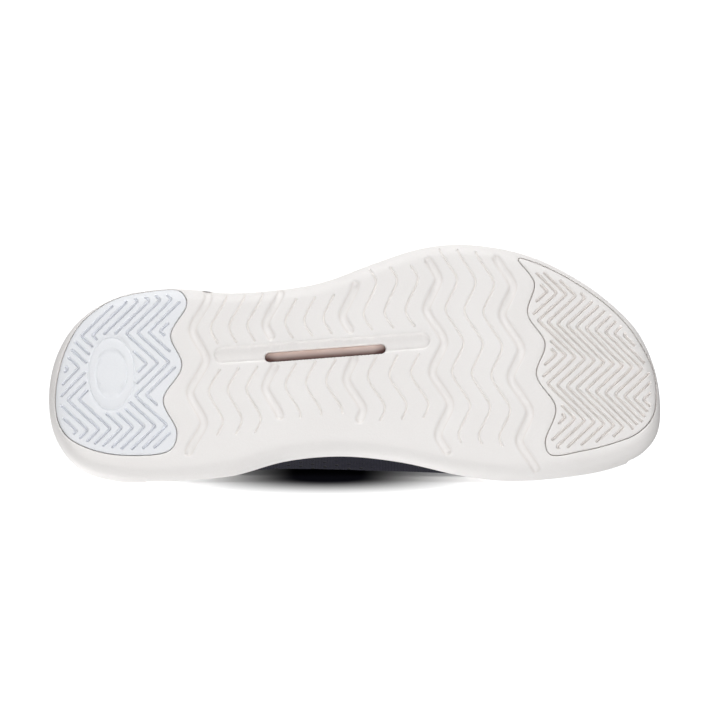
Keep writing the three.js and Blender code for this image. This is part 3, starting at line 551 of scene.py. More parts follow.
def look(name):
    """The material of that name, made once from the colours in the panel."""
    if name in _looks:
        return _looks[name]
    group = bpy.context.scene.shoe_colours
    c = {key: linear(getattr(group, key)) for key in group.__annotations__}
    navy, foam = (c["knit"], c["knit_light"]), (c["foam"], c["foam_shade"])
    soft = {"Sheen Weight": 0.05, "Sheen Roughness": 0.5, "Specular IOR Level": 0.15}
    rubber = {"Specular IOR Level": 0.45}
    paint, colours, constants = {
        # The foam and rubber looks give a strength and a tint of painted shade for their grooves; the shank look gives
        # its painted shade colour.
        "white_foam": (foam_paint, (*foam, 0.75, (0.82, 0.76, 0.7)), {"Specular IOR Level": 0.35}),
        "white_rubber": (foam_paint, (c["pad"], c["pad_shade"], 0.5, (0.85, 0.85, 0.87)), rubber),
        "warm_rubber": (foam_paint, (*foam, 0.3, (0.87, 0.82, 0.77)), rubber),
        "rose_plastic": (plastic_paint, (c["shank"], c["shank_light"], c["shank_dark"]), {"Coat Weight": 0.2}),
        "board": (fibre_paint, ((0.32, 0.24, 0.14), (0.52, 0.42, 0.28)), {}),
        "insole_cloth": (mesh_paint, ((0.012, 0.012, 0.02), (0.05, 0.05, 0.075), 1.3), soft),
        "navy_knit": (knit_paint, (*navy, (5.4, 4.2), (1.35, 1.0)), soft),
        "tongue_knit": (knit_paint, (*navy, None, (1.6, 1.2)), soft),
        "navy_film": (film_paint, (c["film"], c["film_light"]), {"Specular IOR Level": 0.5}),
        "lining_cloth": (mesh_paint, ((0.008, 0.008, 0.014), (0.035, 0.035, 0.055), 1.1), soft),
        "stiffener": (plastic_paint, ((0.45, 0.42, 0.36), (0.62, 0.6, 0.54)), {}),
        "navy_cord": (braid_paint, (scaled(navy[0], 1.1), scaled(navy[1], 1.5), 1.5), soft),
    }[name]
    mat = _looks[name] = bpy.data.materials.new(name)
    mat.use_nodes = True
    tree = mat.node_tree
    shader = next(n for n in tree.nodes if n.type == "BSDF_PRINCIPLED")
    start = Maths(tree)
    place, uv = start.node("ShaderNodeTexCoord", 3), start.node("ShaderNodeTexCoord", 2)
    # Painted shade of the sole, pads and rib comes in through the groove attribute, as do the knit's eyelet marks.
    groove = start.node("ShaderNodeAttribute", 2, {"attribute_name": "groove"})
    base, roughness, bumps = paint(place, uv, groove, *colours)
    for key, value in constants.items():
        shader.inputs[key].default_value = value
    below = {}
    for height, strength, distance in bumps:
        normal = start.node("ShaderNodeBump", Height=height, Strength=strength, Distance=distance, **below)
        below = {"Normal": normal}
    for key, value in (("Base Color", base), ("Roughness", roughness), ("Normal", normal)):
        tree.links.new(value.socket, shader.inputs[key])
    return mat


# ------------------------------------------------------------------ tread
def wave(r, sharp):
    """Zigzag, +1 on even rows and -1 on odd rows; its corners are rounder as sharp falls below 1."""
    return np.arcsin(sharp * np.cos(np.pi * r)) / math.asin(sharp)


def zigzag(x, span, height=ZIG, step=0.05, sharp=0.86):
    r = np.linspace(*span, max(int((span[1] - span[0]) / step) + 1, 3))
    shifted = x + height * wave(r, sharp)
    return np.stack([shifted + row_lean(x) * ROW_PITCH * (r - 2),
                     ROW_FIRST + ROW_PITCH * r + row_drift(shifted)], 1)


def distance_to(points, line):
    a, d = line[:-1], np.diff(line, axis=0)
    t = np.clip(((points[:, None] - a) * d).sum(-1) / (d ** 2).sum(-1), 0, 1)
    return norm(points[:, None] - a - t[..., None] * d).min(1)


class Groove:
    """Groove of a rounded section along a line of points."""

    def __init__(self, line, width, depth):
        self.line, self.half, self.depth = line, width / MM / 2, depth / MM

    def samples(self):
        """Rows of points that give the groove its shape, with rounded ends."""
        d = unit(np.gradient(self.line, axis=0))
        side = np.stack([-d[:, 1], d[:, 0]], 1)
        rings = (0.42, 0.72, 1, 1.35)
        rows = [self.line + side * self.half * k for k in (*(-k for k in rings[::-1]), 0, *rings)]
        turn = np.linspace(-0.42, 0.42, 5)[:, None] * math.pi
        rows += [self.line[end] + self.half * ring * (np.cos(turn) * d[end] * way + np.sin(turn) * side[end])
                 for end, way in ((0, -1), (-1, 1)) for ring in rings]
        return np.concatenate(rows)

    def cut(self, points):
        """Depth below the tread, and distance from the line in half widths."""
        near = np.all((points > self.line.min(0) - self.half * 1.4)
                      & (points < self.line.max(0) + self.half * 1.4), axis=1)
        out, clear = np.zeros(len(points)), np.full(len(points), 9.0)
        if near.any():
            clear[near] = distance_to(points[near], self.line) / self.half
            out[near] = self.depth * (1 - smooth(0.3, 1.0, clear[near]))
        return out, clear


def all_cuts(points, grooves):
    depths, clears = zip(*(g.cut(points) for g in grooves))
    return np.max(depths, 0), np.min(clears, 0)


def edge_rise(inside):
    return EDGE_HEIGHT * (1 - np.sqrt(np.clip(1 - ((EDGE - inside) / EDGE) ** 2, 0, 1)))


def tread_base(points):
    """The tread's height with its rounded edge."""
    return tread_z(points[:, 0]) + edge_rise(np.clip(outline.depth_inside(points), 0, EDGE))


def spread(low, high, pitch):
    """Staggered points over a rectangle."""
    x, y = np.meshgrid(np.arange(low[0], high[0], pitch), np.arange(low[1], high[1], pitch * 0.87), indexing="ij")
    x = x + (np.arange(x.shape[1]) % 2 * pitch / 2)[None]
    return np.stack([x.ravel(), y.ravel()], 1)


def slot_line(shape):
    """Middle line between the slot's round ends, its direction and its half width."""
    a, b = np.array(shape[:2])
    way = unit(b - a)
    return np.array([a + way * shape[2], b - way * shape[2]]), way, shape[2]


def slot_away(points, shape):
    line, _, half = slot_line(shape)
    return distance_to(points, line) - half


def slot_ring(shape, grow):
    (a, b), way, half = slot_line(shape)
    turn = np.linspace(-math.pi / 2, math.pi / 2, 14)[:, None]
    arc = (half + grow) * (np.cos(turn) * way + np.sin(turn) * np.array([-way[1], way[0]]))
    first, second = b + arc, a - arc
    k = np.linspace(0, 1, 60)[1:-1, None]
    return np.concatenate([first, first[-1] + (second[0] - first[-1]) * k,
                           second, second[-1] + (first[0] - second[-1]) * k])


def badge_away(points):
    x, y, half_x, half_y = BADGE
    return (np.hypot((points[:, 0] - x) / half_x, (points[:, 1] - y) / half_y) - 1) * min(half_x, half_y)


def pad_grooves(size, pad, places, clear=None):
    found = []
    for x in places:
        line = zigzag(x, (-2, 6), ROW_PITCH / 2, 0.03, 0.996)
        inside = pad.depth_inside(line) > 2.6
        if clear:
            inside &= clear(line) > 1.5
        for run in np.split(np.arange(len(line)), np.flatnonzero(np.diff(inside.astype(int))) + 1):
            if inside[run[0]] and len(run) > 4:
                found.append(Groove(line[run], size.pad_groove, size.pad_depth))
    return found


def make_pad(name, pad, grooves, badge=False):
    rings = [pad.ring(300, k) for k in (0.0, 0.18, 0.45, 0.9)]
    extra = [g.samples() for g in grooves]
    if badge:
        extra += [np.array(BADGE[:2]) + turns(72) * (np.array(BADGE[2:]) - k)
                  for k in (-0.9, -0.5, -0.2, 0, 0.5, 2.2, 2.5, 2.8, 3.4, 3.7, 4.0)]
    ground = spread(pad.points.min(0), pad.points.max(0), 2.6)
    ground = ground[(all_cuts(ground, grooves)[1] > 1.5) & (pad.depth_inside(ground) > 1.3)]
    body = np.concatenate([*extra, ground, *rings[1:]])
    xy, faces = triangulate(body[pad.depth_inside(body) > 0.1], rings[:1], lambda p: pad.depth_inside(p) > 0)
    depth, _ = all_cuts(xy, grooves)
    low = tread_base(xy) + depth + 0.4 * (1 - np.clip(pad.depth_inside(xy), 0, 0.45) / 0.45) ** 2
    # Painted shade in the herringbone grooves, the more the deeper they cut.
    tone = depth / grooves[0].depth
    if badge:
        away = badge_away(xy)
        lines = 0.5 * (1 - smooth(0.0, 0.45, np.abs(away - 0.25))) + 0.4 * (1 - smooth(0.15, 0.5, np.abs(away + 3.2)))
        low += lines
        # Painted shade in the badge's sunk lines.
        tone = np.maximum(tone, lines * 1.2)
    points, faces = two_sheets(faces[:, ::-1], np.column_stack([xy, low]), np.column_stack([xy, tread_base(xy) + 2.5]))
    return make(name, points, faces, values=np.r_[tone, tone * 0])


# ------------------------------------------------------------------ sizes and colours
def _size(name, millimetres, words):
    return FloatProperty(name=name, description=words, default=millimetres * MM, min=0, precision=5, unit="LENGTH")


def _colour(name, value, words):
    return FloatVectorProperty(name=name, description=words, subtype="COLOR", size=3, min=0, max=1, default=value)


class ShoeSizes(bpy.types.PropertyGroup):
    """Sizes of the tread and the lace."""
    wide_groove: _size("Wide groove", 4.4, "Width of the wide zigzag grooves")
    wide_depth: _size("Wide depth", 1.6, "Depth of the wide zigzag grooves")
    thin_groove: _size("Thin groove", 1.3, "Width of the thin zigzag lines")
    thin_depth: _size("Thin depth", 0.6, "Depth of the thin zigzag lines")
    pad_groove: _size("Pad groove", 1.6, "Width of the herringbone grooves")
    pad_depth: _size("Pad depth", 1.4, "Depth of the herringbone grooves")
    lace_radius: _size("Lace radius", 1.25, "Radius of the round lace")
    rows: IntProperty(name="Lace rows", description="Pairs of lace holes", default=5, min=2, max=7)


class ShoeColours(bpy.types.PropertyGroup):
    """Colours of the shoe, as seen on screen."""
    foam: _colour("Foam", (0.972, 0.962, 0.956), "White foam of the sole")
    foam_shade: _colour("Foam shade", (0.95, 0.938, 0.93), "Slightly darker patches of the foam")
    pad: _colour("Heel pad", (0.965, 0.97, 0.98), "Cooler white of the heel pad")
    pad_shade: _colour("Heel pad shade", (0.935, 0.943, 0.96), "Darker patches of the heel pad")
    shank: _colour("Shank", (0.9, 0.8, 0.76), "Shank plate seen in the slot")
    shank_light: _colour("Shank light", (0.95, 0.87, 0.84), "Lighter streaks of the shank plate")
    shank_dark: _colour("Shank dark", (0.36, 0.22, 0.2), "Shaded side of the shank's rib")
    knit: _colour("Knit", (0.014, 0.011, 0.042), "Near black navy yarn")
    knit_light: _colour("Knit light", (0.13, 0.125, 0.215), "Light side of the yarn")
    film: _colour("Film", (0.075, 0.075, 0.155), "Moulded film of the bonded trims")
    film_light: _colour("Film light", (0.12, 0.12, 0.22), "Lighter patches of the film")


# ------------------------------------------------------------------ operators
class MakeSole(bpy.types.Operator):
    """White foam cup with its zigzag grooves, slot and pad pockets"""
    bl_idname = "shoe.sole"
    bl_label = "Sole"

    def grooves(self, size):
        found = []
        for i, (x, spans) in enumerate(WIDE_GROOVES):
            found += [Groove(zigzag(x, span), size.wide_groove, size.wide_depth) for span in spans]
            if i + 1 < len(WIDE_GROOVES):
                found += [Groove(zigzag(x + (WIDE_GROOVES[i + 1][0] - x) * share, span),
                                 size.thin_groove, size.thin_depth)
                          for share in (0.25, 0.5, 0.75) for span in THIN_SPANS[i]]
        return found

    def bottom(self, size, around, first_inset):
        """Triangles of the tread, its height and how much painted shade each point takes in the grooves and in the gaps
        round the pads.
        """
        grooves, pads = self.grooves(size), [Loop(HEEL_PAD), Loop(TOE_PAD)]
        parts = [g.samples() for g in grooves]
        parts += [outline.ring(around, k) for k in (0.45, 0.8, 1.3, 2.0, 2.9, 3.9, 5.0, 6.0)]
        parts += [pad.ring(300, k) for pad in pads for k in (-0.9, -0.5, -0.3, -0.2, -0.12)]
        parts += [slot_ring(SLOT, k) for k in (0.9, 0.5, 0.2, 0, -0.25, -0.45)]
        parts += [slot_ring(WINDOW, k) for k in (0.5, 0.25, 0.05, -0.1)]
        ground = spread((-134, -52), (134, 53), 3.0)
        ground = ground[(all_cuts(ground, grooves)[1] > 1.5) & (outline.depth_inside(ground) > 6.5)]
        body = np.concatenate([*parts, ground])
        keep = outline.depth_inside(body) > 0.3
        for pad in pads:
            keep &= pad.depth_inside(body) < 0.6
        xy, faces = triangulate(body[keep], [outline.ring(around, first_inset)],
                                lambda p: outline.depth_inside(p) > 0.2)
        depth, _ = all_cuts(xy, grooves)
        thin = size.thin_depth / MM
        # Painted shade in the grooves: the thin ones take more the deeper they cut, the wide ones a light even share.
        tone = np.where(depth > thin * 1.02, 0.12, depth / thin * 0.5)
        for pad in pads:
            away = -pad.depth_inside(xy)
            depth = np.maximum(depth, np.interp(away, (0.15, 0.22, 0.35, 0.55, 0.9), (PAD_POCKET, 1.2, 0.35, 0.08, 0)))
            # Painted shade in the gap between each pad and its pocket.
            tone = np.maximum(tone, np.interp(away, (0.2, 0.5), (0.8, 0)))
        for shape, steps, depths in (
                (SLOT, (-0.45, -0.2, 0.0, 0.25, 0.6, 0.9), (1.6, 1.3, 0.55, 0.15, 0.03, 0)),
                (WINDOW, (-0.1, 0.05, 0.3, 0.5), (5.2, 2.3, 1.7, 0))):
            depth = np.maximum(depth, np.interp(slot_away(xy, shape), steps, depths))
        return np.column_stack([xy, tread_base(xy) + depth]), faces, tone

    def walls(self, around):
        """Rings from the tread's edge up to the lip and down inside the cup."""
        share, rings = np.arange(around) / around, []

        def ring(inset, height):
            p = outline.at(share, inset)
            rings.append(np.column_stack([p, height(p[:, 0])]))
        for inset in (0.25, 0.12, 0.03, 0.0):
            ring(inset, lambda x: tread_z(x) + edge_rise(inset))
        x, y = outline.at(share).T
        flange = smooth(28, 60, x) * (1 - smooth(118.8, 119.6, x)) * (y > 5)     # bulge beside the ball
        for t in (0.12, 0.25, 0.38, 0.46, 0.5, 0.54, 0.62, 0.74, 0.86, 0.94):
            line = 0.45 * math.exp(-((t - 0.5) / 0.03) ** 2)
            ring(t ** 2 + line - 0.7 * flange * smooth(0.1, 0.25, t) * (1 - smooth(0.86, 0.97, t)),
                 lambda x: tread_z(x) + EDGE_HEIGHT + (lip_z(x) - tread_z(x) - EDGE_HEIGHT) * t)
        for inset, drop in ((1.05, 0.35), (1.35, 0.06), (1.9, 0), (2.4, 0.08), (2.7, 0.4), (2.8, 1.2), (2.8, 3.0)):
            ring(inset, lambda x: lip_z(x) - drop)
        ring(CUP_WALL, floor_z)
        return np.array(rings)

    def execute(self, context):
        around = 420
        bottom, faces, tone = self.bottom(context.scene.shoe_sizes, around, 0.25)
        walls = self.walls(around)
        seat = between(np.linspace(0.002, 0.998, 120), CUP_WALL, 9)
        seat = np.concatenate([seat, floor_z(seat[..., 0])[..., None]], -1)
        points = np.concatenate([bottom, walls.reshape(-1, 3), seat.reshape(-1, 3)])
        faces = [*faces[:, ::-1].tolist(), *grid_faces(len(walls), around, len(bottom), wrap=True).tolist(),
                 *grid_faces(120, 9, len(bottom) + walls.size // 3, flip=True).tolist()]
        values = np.r_[np.clip(tone, 0, 1), np.zeros(len(points) - len(bottom))]
        obj = make("foam_sole", points, faces, values=values, weld=0.01)
        fit(obj, "white_foam", "midsole_rear midsole_forefoot", BALL)
        return {"FINISHED"}


class MakePads(bpy.types.Operator):
    """Rubber heel and forefoot pads with herringbone grooves"""
    bl_idname = "shoe.pads"
    bl_label = "Tread pads"

    def execute(self, context):
        size = context.scene.shoe_sizes
        heel, toe = Loop(HEEL_PAD), Loop(TOE_PAD)
        obj = make_pad("heel_tread", heel, pad_grooves(size, heel, np.arange(-137, -62, 4.9), badge_away), badge=True)
        fit(obj, "white_rubber", "heel_pad", "rearfoot", 50)
        obj = make_pad("forefoot_tread", toe, pad_grooves(size, toe, np.arange(68, 138, 4.2)))
        fit(obj, "warm_rubber", "forefoot_pad", BALL, 50)
        return {"FINISHED"}


class MakeInner(bpy.types.Operator):
    """Board and insole inside the cup, the shank's rib and the stiffeners"""
    bl_idname = "shoe.inner"
    bl_label = "Board and insole"

    def layer(self, name, inset, low, thick, dish, slot, nodes):
        xy = between(0.5 - 0.5 * np.cos(np.linspace(0.02, math.pi - 0.02, 150)), inset, 41)
        across = np.abs(2 * np.linspace(0, 1, 41) - 1)
        shoulder = 1 - across ** 8
        base = floor_z(xy[..., 0]) + low
        top = base + thick * (0.75 + 0.25 * shoulder) + dish * across ** 3 * shoulder - dish * 0.4
        points, faces = slab(*(np.concatenate([xy, z[..., None]], -1) for z in (top, base)))
        obj = make(name, points, faces[:, ::-1], uv=np.tile(xy.reshape(-1, 2), (2, 1)))
        fit(obj, slot, nodes, BALL, 50)
        return obj

    def rib(self):
        """Rounded rib seen in the window, with painted shade along its inner edge and at its ends."""
        rings = [slot_ring(WINDOW, k) for k in (-0.15, -0.4, -0.8, -1.2, -1.6, -2.0)]
        xy, faces = triangulate(np.concatenate(rings[1:]), rings[:1], lambda p: slot_away(p, WINDOW) < -0.1)
        (x0, y0), (x1, y1), half = WINDOW
        away = np.clip(slot_away(xy, WINDOW) / half + 1, 0, 1)
        across = (xy[:, 1] - y0 - (y1 - y0) * (xy[:, 0] - x0) / (x1 - x0)) / half
        ends = smooth(6, 0, xy[:, 0] - x0) + smooth(6, 0, x1 - xy[:, 0])
        # Painted shade: heavier towards the inner edge and at both ends, where the rounded rib would lie in shade.
        painted_shade = np.clip(smooth(-0.75, 1.0, across) * 0.9 + 0.45 * ends, 0, 1)
        dome = 4.6 - 1.5 * np.sqrt(1 - away ** 2)
        points, faces = two_sheets(faces[:, ::-1], np.column_stack([xy, dome]), np.column_stack([xy, dome * 0 + 4.9]))
        return make("shank_rib", points, faces, values=np.r_[painted_shade, painted_shade])

    def execute(self, context):
        self.layer("pressed_board", 5.2, 0.3, 1.2, 0.0, "board", "lasting_board_rear lasting_board_forefoot")
        insole = self.layer("soft_insole", 7.0, 1.8, 4.0, 1.1, "insole_cloth", "insole_rear insole_forefoot")
        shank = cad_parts["shank_plate"]
        shank.data.materials.clear()
        shank.data.materials.append(look("rose_plastic"))
        fit(self.rib(), "rose_plastic", "", "rearfoot", angle=None)
        inside = FABRIC + 0.3, FABRIC + 1.3
        a, k = plan((-1, 1, 121), (0, 1, 24))
        side, s = sides(a * 0.13)
        low, high = level_above_floor(side, s, 2.5), level_height(side, s, 47 - 10 * a ** 6)
        cup = shell("heel_cup", (side, s, low + (high - low) * k), *inside)
        fit(cup, "stiffener", "heel_counter", "rearfoot")
        s, w = plan((0.86, 0.9995, 60), (-1, 1, 81))
        side, w = sides(w)
        cap = shell("toe_cap", (side, s, 1 - w * (1 - level_above_floor(side, s, 3))), *inside)
        fit(cap, "stiffener", "toe_puff", "forefoot")
        return {"FINISHED"}


class MakeKnit(bpy.types.Operator):
    """Knit upper in one piece, from the sole to the throat and top line"""
    bl_idname = "shoe.knit"
    bl_label = "Knit upper"

    def execute(self, context):
        t = np.linspace(0, 1, 301)
        s = 0.45 * t + 0.55 * (0.5 - 0.5 * np.cos(math.pi * t))
        rise = np.linspace(0, 1, 40) ** 1.05
        sheets, faces, uvs, values = [], [], [], []
        for n, side in enumerate((-1, 1)):
            top = top_level(side, s)
            ease = np.convolve(np.pad(top, 1, "edge"), np.ones(3) / 3, "valid")
            top = np.where((top < 1) & (np.abs(ease - top) < 0.02), ease, top)
            points = upper(side, s[:, None], top[:, None] * rise, 0)
            x, z = points[..., 0], points[..., 2]
            height = np.concatenate([np.zeros((len(s), 1)), np.cumsum(norm(np.diff(points, axis=1)), 1)], 1)
            uvs.append(np.stack([x, height * side], -1).reshape(-1, 2))
            airy = smooth(40, 62, x) * (1 - smooth(88, 104, x))                  # eyelets over the toes and the arch
            airy += smooth(-52, -34, x) * (1 - smooth(4, 22, x)) * smooth(38, 46, z)
            values.append(airy.ravel())
            sheets.append(points.reshape(-1, 3))
            faces.append(grid_faces(*x.shape, n * x.size, flip=side < 0))
        obj = make("knit_upper", np.concatenate(sheets), np.concatenate(faces), uv=np.concatenate(uvs),
                   values=np.concatenate(values), weld=0.02)
        change(obj, "SOLIDIFY", thickness=FABRIC * MM, offset=-1, use_even_offset=False)
        fit(obj, "navy_knit", "quarter_lateral quarter_medial toe_box vamp_flex", BALL)
        return {"FINISHED"}


def lace_hole(side, row):
    """A point under and a point over a lace hole, and the lace's place over the throat edge beside it."""
    x = FIRST_HOLE - row * HOLE_PITCH
    s = station(x)
    v = float(level_out(side, s, throat_half(x) + HOLE_OUT))
    along = upper(side, s + 0.01, v, 0) - upper(side, s - 0.01, v, 0)
    up = upper(side, s, v + 0.01, 0) - upper(side, s, v - 0.01, 0)
    normal = unit(np.cross(along, up))
    normal *= np.sign(normal[2])
    centre = upper(side, s, v, 0)
    rim = upper(side, s, float(level_out(side, s, throat_half(x) + 0.4)), -3.25)
    return centre - normal * 3.5, centre + normal * 2.95, rim


class MakeTrims(bpy.types.Operator):
    """Bonded film parts: eyestays with lace holes, backstay and toe guard"""
    bl_idname = "shoe.trims"
    bl_label = "Bonded trims"

    def eyestay(self, name, side, rows):
        shape = Loop(EYESTAY, 20)
        rim = shape.ring(150)
        holes = np.array([(FIRST_HOLE - r * HOLE_PITCH, HOLE_OUT) for r in range(rows)])

        def clear(p):
            return norm(p[:, None] - holes).min(1)

        def place(p, depth):
            s = station(p[:, 0])
            return upper(side, s, level_out(side, s, throat_half(p[:, 0]) + p[:, 1]), depth)
        ground = spread(rim.min(0), rim.max(0), 1.5)
        ground = ground[(shape.depth_inside(ground, 200) > 0.5) & (clear(ground) > 3.4)]
        circle = turns(28)
        body = np.concatenate([ground, *(h + circle * k for h in holes for k in (2.7, 3.1))])
        points, faces = triangulate(body, [rim, *(h + circle * HOLE_RADIUS for h in holes)],
                                    lambda p: (shape.depth_inside(p, 200) > -0.2) & (clear(p) > HOLE_RADIUS - 0.02))
        outer, inner = place(points, -FILM), place(points, -0.3)
        a, b, c = outer[faces[0]]
        if np.cross(b - a, c - a) @ (a - inner[faces[0, 0]]) < 0:
            faces = faces[:, ::-1]
        verts, polys = two_sheets(faces, outer, inner)
        obj = make(name, verts, polys, uv=np.tile(points, (2, 1)))
        round_edges(obj, 0.35)
        return obj

    def execute(self, context):
        rows = context.scene.shoe_sizes.rows
        fit(self.eyestay("eyestay_outer", -1, rows), "navy_film", "eyestay_lateral", BALL)
        fit(self.eyestay("eyestay_inner", 1, rows), "navy_film", "eyestay_medial", BALL)
        # backstay: a runs across, z up
        reach = 0.052
        a, z = plan((-reach, reach, 41), (0, 1, 36))
        side, s = sides(a)
        low, high = lip_z(edge(side, s, UPPER_INSET)[..., 0]) + 1.2, 65.3 - 14 * (s / reach) ** 4
        narrow = s * (1 - 0.25 * smooth(0.1, 1, z))
        place = side, narrow, level_height(side, narrow, low + (high - low) * z)
        drop = 0.55 * np.maximum((s / reach) ** 10, np.abs(2 * z - 1) ** 14)
        obj = shell("heel_backstay", place, drop - FILM, -0.3, (a * 300, z * 36))
        fit(obj, "navy_film", "backstay", "rearfoot")
        # toe guard: runs round the toe above the cup
        a, z = plan((-1, 1, 121), (0, 1, 22))
        side, w = sides(a)
        s = 1 - w * 0.2
        x = edge(side, s, UPPER_INSET)[..., 0]
        tall = 0.6 + 13.5 * (1 - smooth(0.15, 1.0, w)) * smooth(78, 96, x)
        place = side, s, level_height(side, s, lip_z(x) + 0.9 + tall * z)
        drop = 0.5 * np.maximum(w ** 30, np.abs(2 * z - 1) ** 10)
        obj = shell("toe_film", place, drop - FILM, -0.3, (a * 60, z * 16))
        fit(obj, "navy_film", "toe_guard", "forefoot")
        return {"FINISHED"}


class MakeCollar(bpy.types.Operator):
    """Padded collar that rolls over the top line and lines the heel"""
    bl_idname = "shoe.collar"
    bl_label = "Collar"

    def execute(self, context):
        profile = np.array(COLLAR)
        fine = np.stack([profile, (profile + np.roll(profile, -1, 0)) / 2], 1).reshape(-1, 2)
        side, s = sides(np.linspace(-1, 1, 261) * station(-12.5))
        top = top_level(side, s)
        here, below = upper(side, s, top, 0), upper(side, s, top - 0.01, 0)
        per_mm = 0.01 / norm(here - below)
        full = smooth(-2, -26, here[:, 0])[:, None]            # the roll thins out beside the tongue
        deep, past = fine.T
        depth = np.where(deep > 2.1, 2.1 + (deep - 2.1) * (0.18 + 0.82 * full), deep)
        run = np.where(past < 0, past * (0.25 + 0.75 * full), past)
        points = upper(side[:, None], s[:, None], top[:, None] + run * per_mm[:, None], depth)
        uv = np.stack(np.broadcast_arrays(run_length(here)[:, None], run_length(fine)), -1)
        obj = make("padded_collar", points, capped(*points.shape[:2]), uv=uv)
        fit(obj, "lining_cloth", "collar_padding", "rearfoot", angle=None)
        # lining from the collar down to the insole
        a, k = plan((-1, 1, 181), (0, 1, 26))
        side, s = sides(a * station(22))
        top = top_level(side[:, 0], s[:, 0])[:, None] - 21 * per_mm.mean()
        low = level_above_floor(side, s, 6.2)
        obj = shell("heel_lining", (side, s, low + (top - low) * k), 3.6, 4.6, (a * 190, k * 34))
        fit(obj, "lining_cloth", "collar_lining", "rearfoot")
        return {"FINISHED"}


class MakeTongue(bpy.types.Operator):
    """Padded tongue, free at its top"""
    bl_idname = "shoe.tongue"
    bl_label = "Tongue"

    def execute(self, context):
        half = through((-34, 9), (-32.5, 13.5), (-30, 16.8), (-27, 18.5), (-20, 19.5), (0, 19.5), (36, 13))
        x, k = np.meshgrid(np.concatenate([np.linspace(-34.2, -26, 26), np.linspace(-25.4, 37, 76)]),
                           np.linspace(-1, 1, 57), indexing="ij")
        (side, w), s = sides(k), station(x)
        out = np.maximum(w * half(x), 1e-4)
        for _ in range(4):     # slide each point along until it lies over its own place on the ridge
            v = level_out(side, s, out)
            s = s + 0.8 * (station(x) - station(upper(side, s, v, 0)[..., 0]))
        seam = 0.5 * np.exp(-((w - 0.8) / 0.035) ** 2) * smooth(-34, -31, x)
        channels = 0.5 * (1 - smooth(0.0, 0.16, np.abs((x - 3) % 11 - 5.5) / 5.5)) * (w < 0.78) * smooth(34, 30, x)
        puff = 0.25 + 0.75 * (1 - w ** 6) * smooth(-34.2, -31, x)
        obj = shell("padded_tongue", (side, s, level_out(side, s, out)),
                    TONGUE_DROP + 1.0 - 1.3 * puff + seam + channels, TONGUE_DROP + 2.2 + 2.0 * puff,
                    (k * 19, x), weld=0.01, flip=True)
        fit(obj, "tongue_knit", "tongue_lower tongue_top", TONGUE_ROOT)
        return {"FINISHED"}


class MakeLace(bpy.types.Operator):
    """Lace run straight across the throat through every hole"""
    bl_idname = "shoe.lace"
    bl_label = "Lace"

    def corners(self, rows):
        """Under, over and across for each hole in turn, with a tucked tail at both ends."""
        found = []
        for row in range(rows):
            near, far = (lace_hole(side, row) for side in ((1, -1) if row % 2 else (-1, 1)))
            found += [*near, *far[::-1]]
        first, last = (found[end] + unit(found[end] - found[inner]) * tail
                       for end, inner, tail in ((0, 11, 4.5), (-1, -12, 5)))
        return [first, *found, last]

    def rounded(self, corners, bend=1.9, pitch=0.8):
        line = corners[:1]
        for a, b, c in zip(corners, corners[1:], corners[2:]):
            back, ahead = norm(a - b), norm(c - b)
            reach = min(bend, back / 2.05, ahead / 2.05)
            p, q = b + (a - b) / back * reach, b + (c - b) / ahead * reach
            steps = np.linspace(0, 1, max(int(norm(p - line[-1]) / pitch), 1) + 1)[1:-1]
            line += [line[-1] + (p - line[-1]) * k for k in steps]
            line += [(1 - k) ** 2 * p + 2 * k * (1 - k) * b + k * k * q for k in np.linspace(0, 1, 8)]
        return np.array([*line, corners[-1]])

    def execute(self, context):
        size = context.scene.shoe_sizes
        line, radius, count = self.rounded(self.corners(size.rows)), size.lace_radius / MM, 14
        circle, side, rings = turns(count), np.array([0, 0, 1.0]), []
        for p, d in zip(line, unit(np.gradient(line, axis=0))):
            side = unit(side - d * (side @ d))
            rings.append(p + radius * (circle[:, :1] * side + circle[:, 1:] * np.cross(d, side)))
        around = np.arange(count) / count * 2 * math.pi * radius
        uv = np.stack(np.broadcast_arrays(run_length(line)[:, None], around), -1)
        obj = make("lace_cord", rings, capped(len(line), count), uv=uv)
        fit(obj, "navy_cord", "lace", BALL, angle=None)
        return {"FINISHED"}


class MakeLoop(bpy.types.Operator):
    """Webbing loop at the back of the heel"""
    bl_idname = "shoe.loop"
    bl_label = "Pull loop"

    def execute(self, context):
        middle, across, count = Loop(PULL_LOOP, 10), np.linspace(3.6, 16.4, 15), 96
        sheets = [np.stack([np.column_stack([p[:, 0], np.full(count, y), p[:, 1]]) for y in across])
                  for p in (middle.ring(count, -0.5), middle.ring(count, 0.5))]
        points, faces = slab(*sheets, wrap=True)
        uv = np.stack(np.broadcast_arrays(np.arange(count) * 0.6, across[:, None]), -1)
        obj = make("webbing_loop", points, faces, uv=np.tile(uv.reshape(-1, 2), (2, 1)))
        round_edges(obj, 0.25)
        fit(obj, "navy_cord", "pull_loop", "pull_loop")
        return {"FINISHED"}


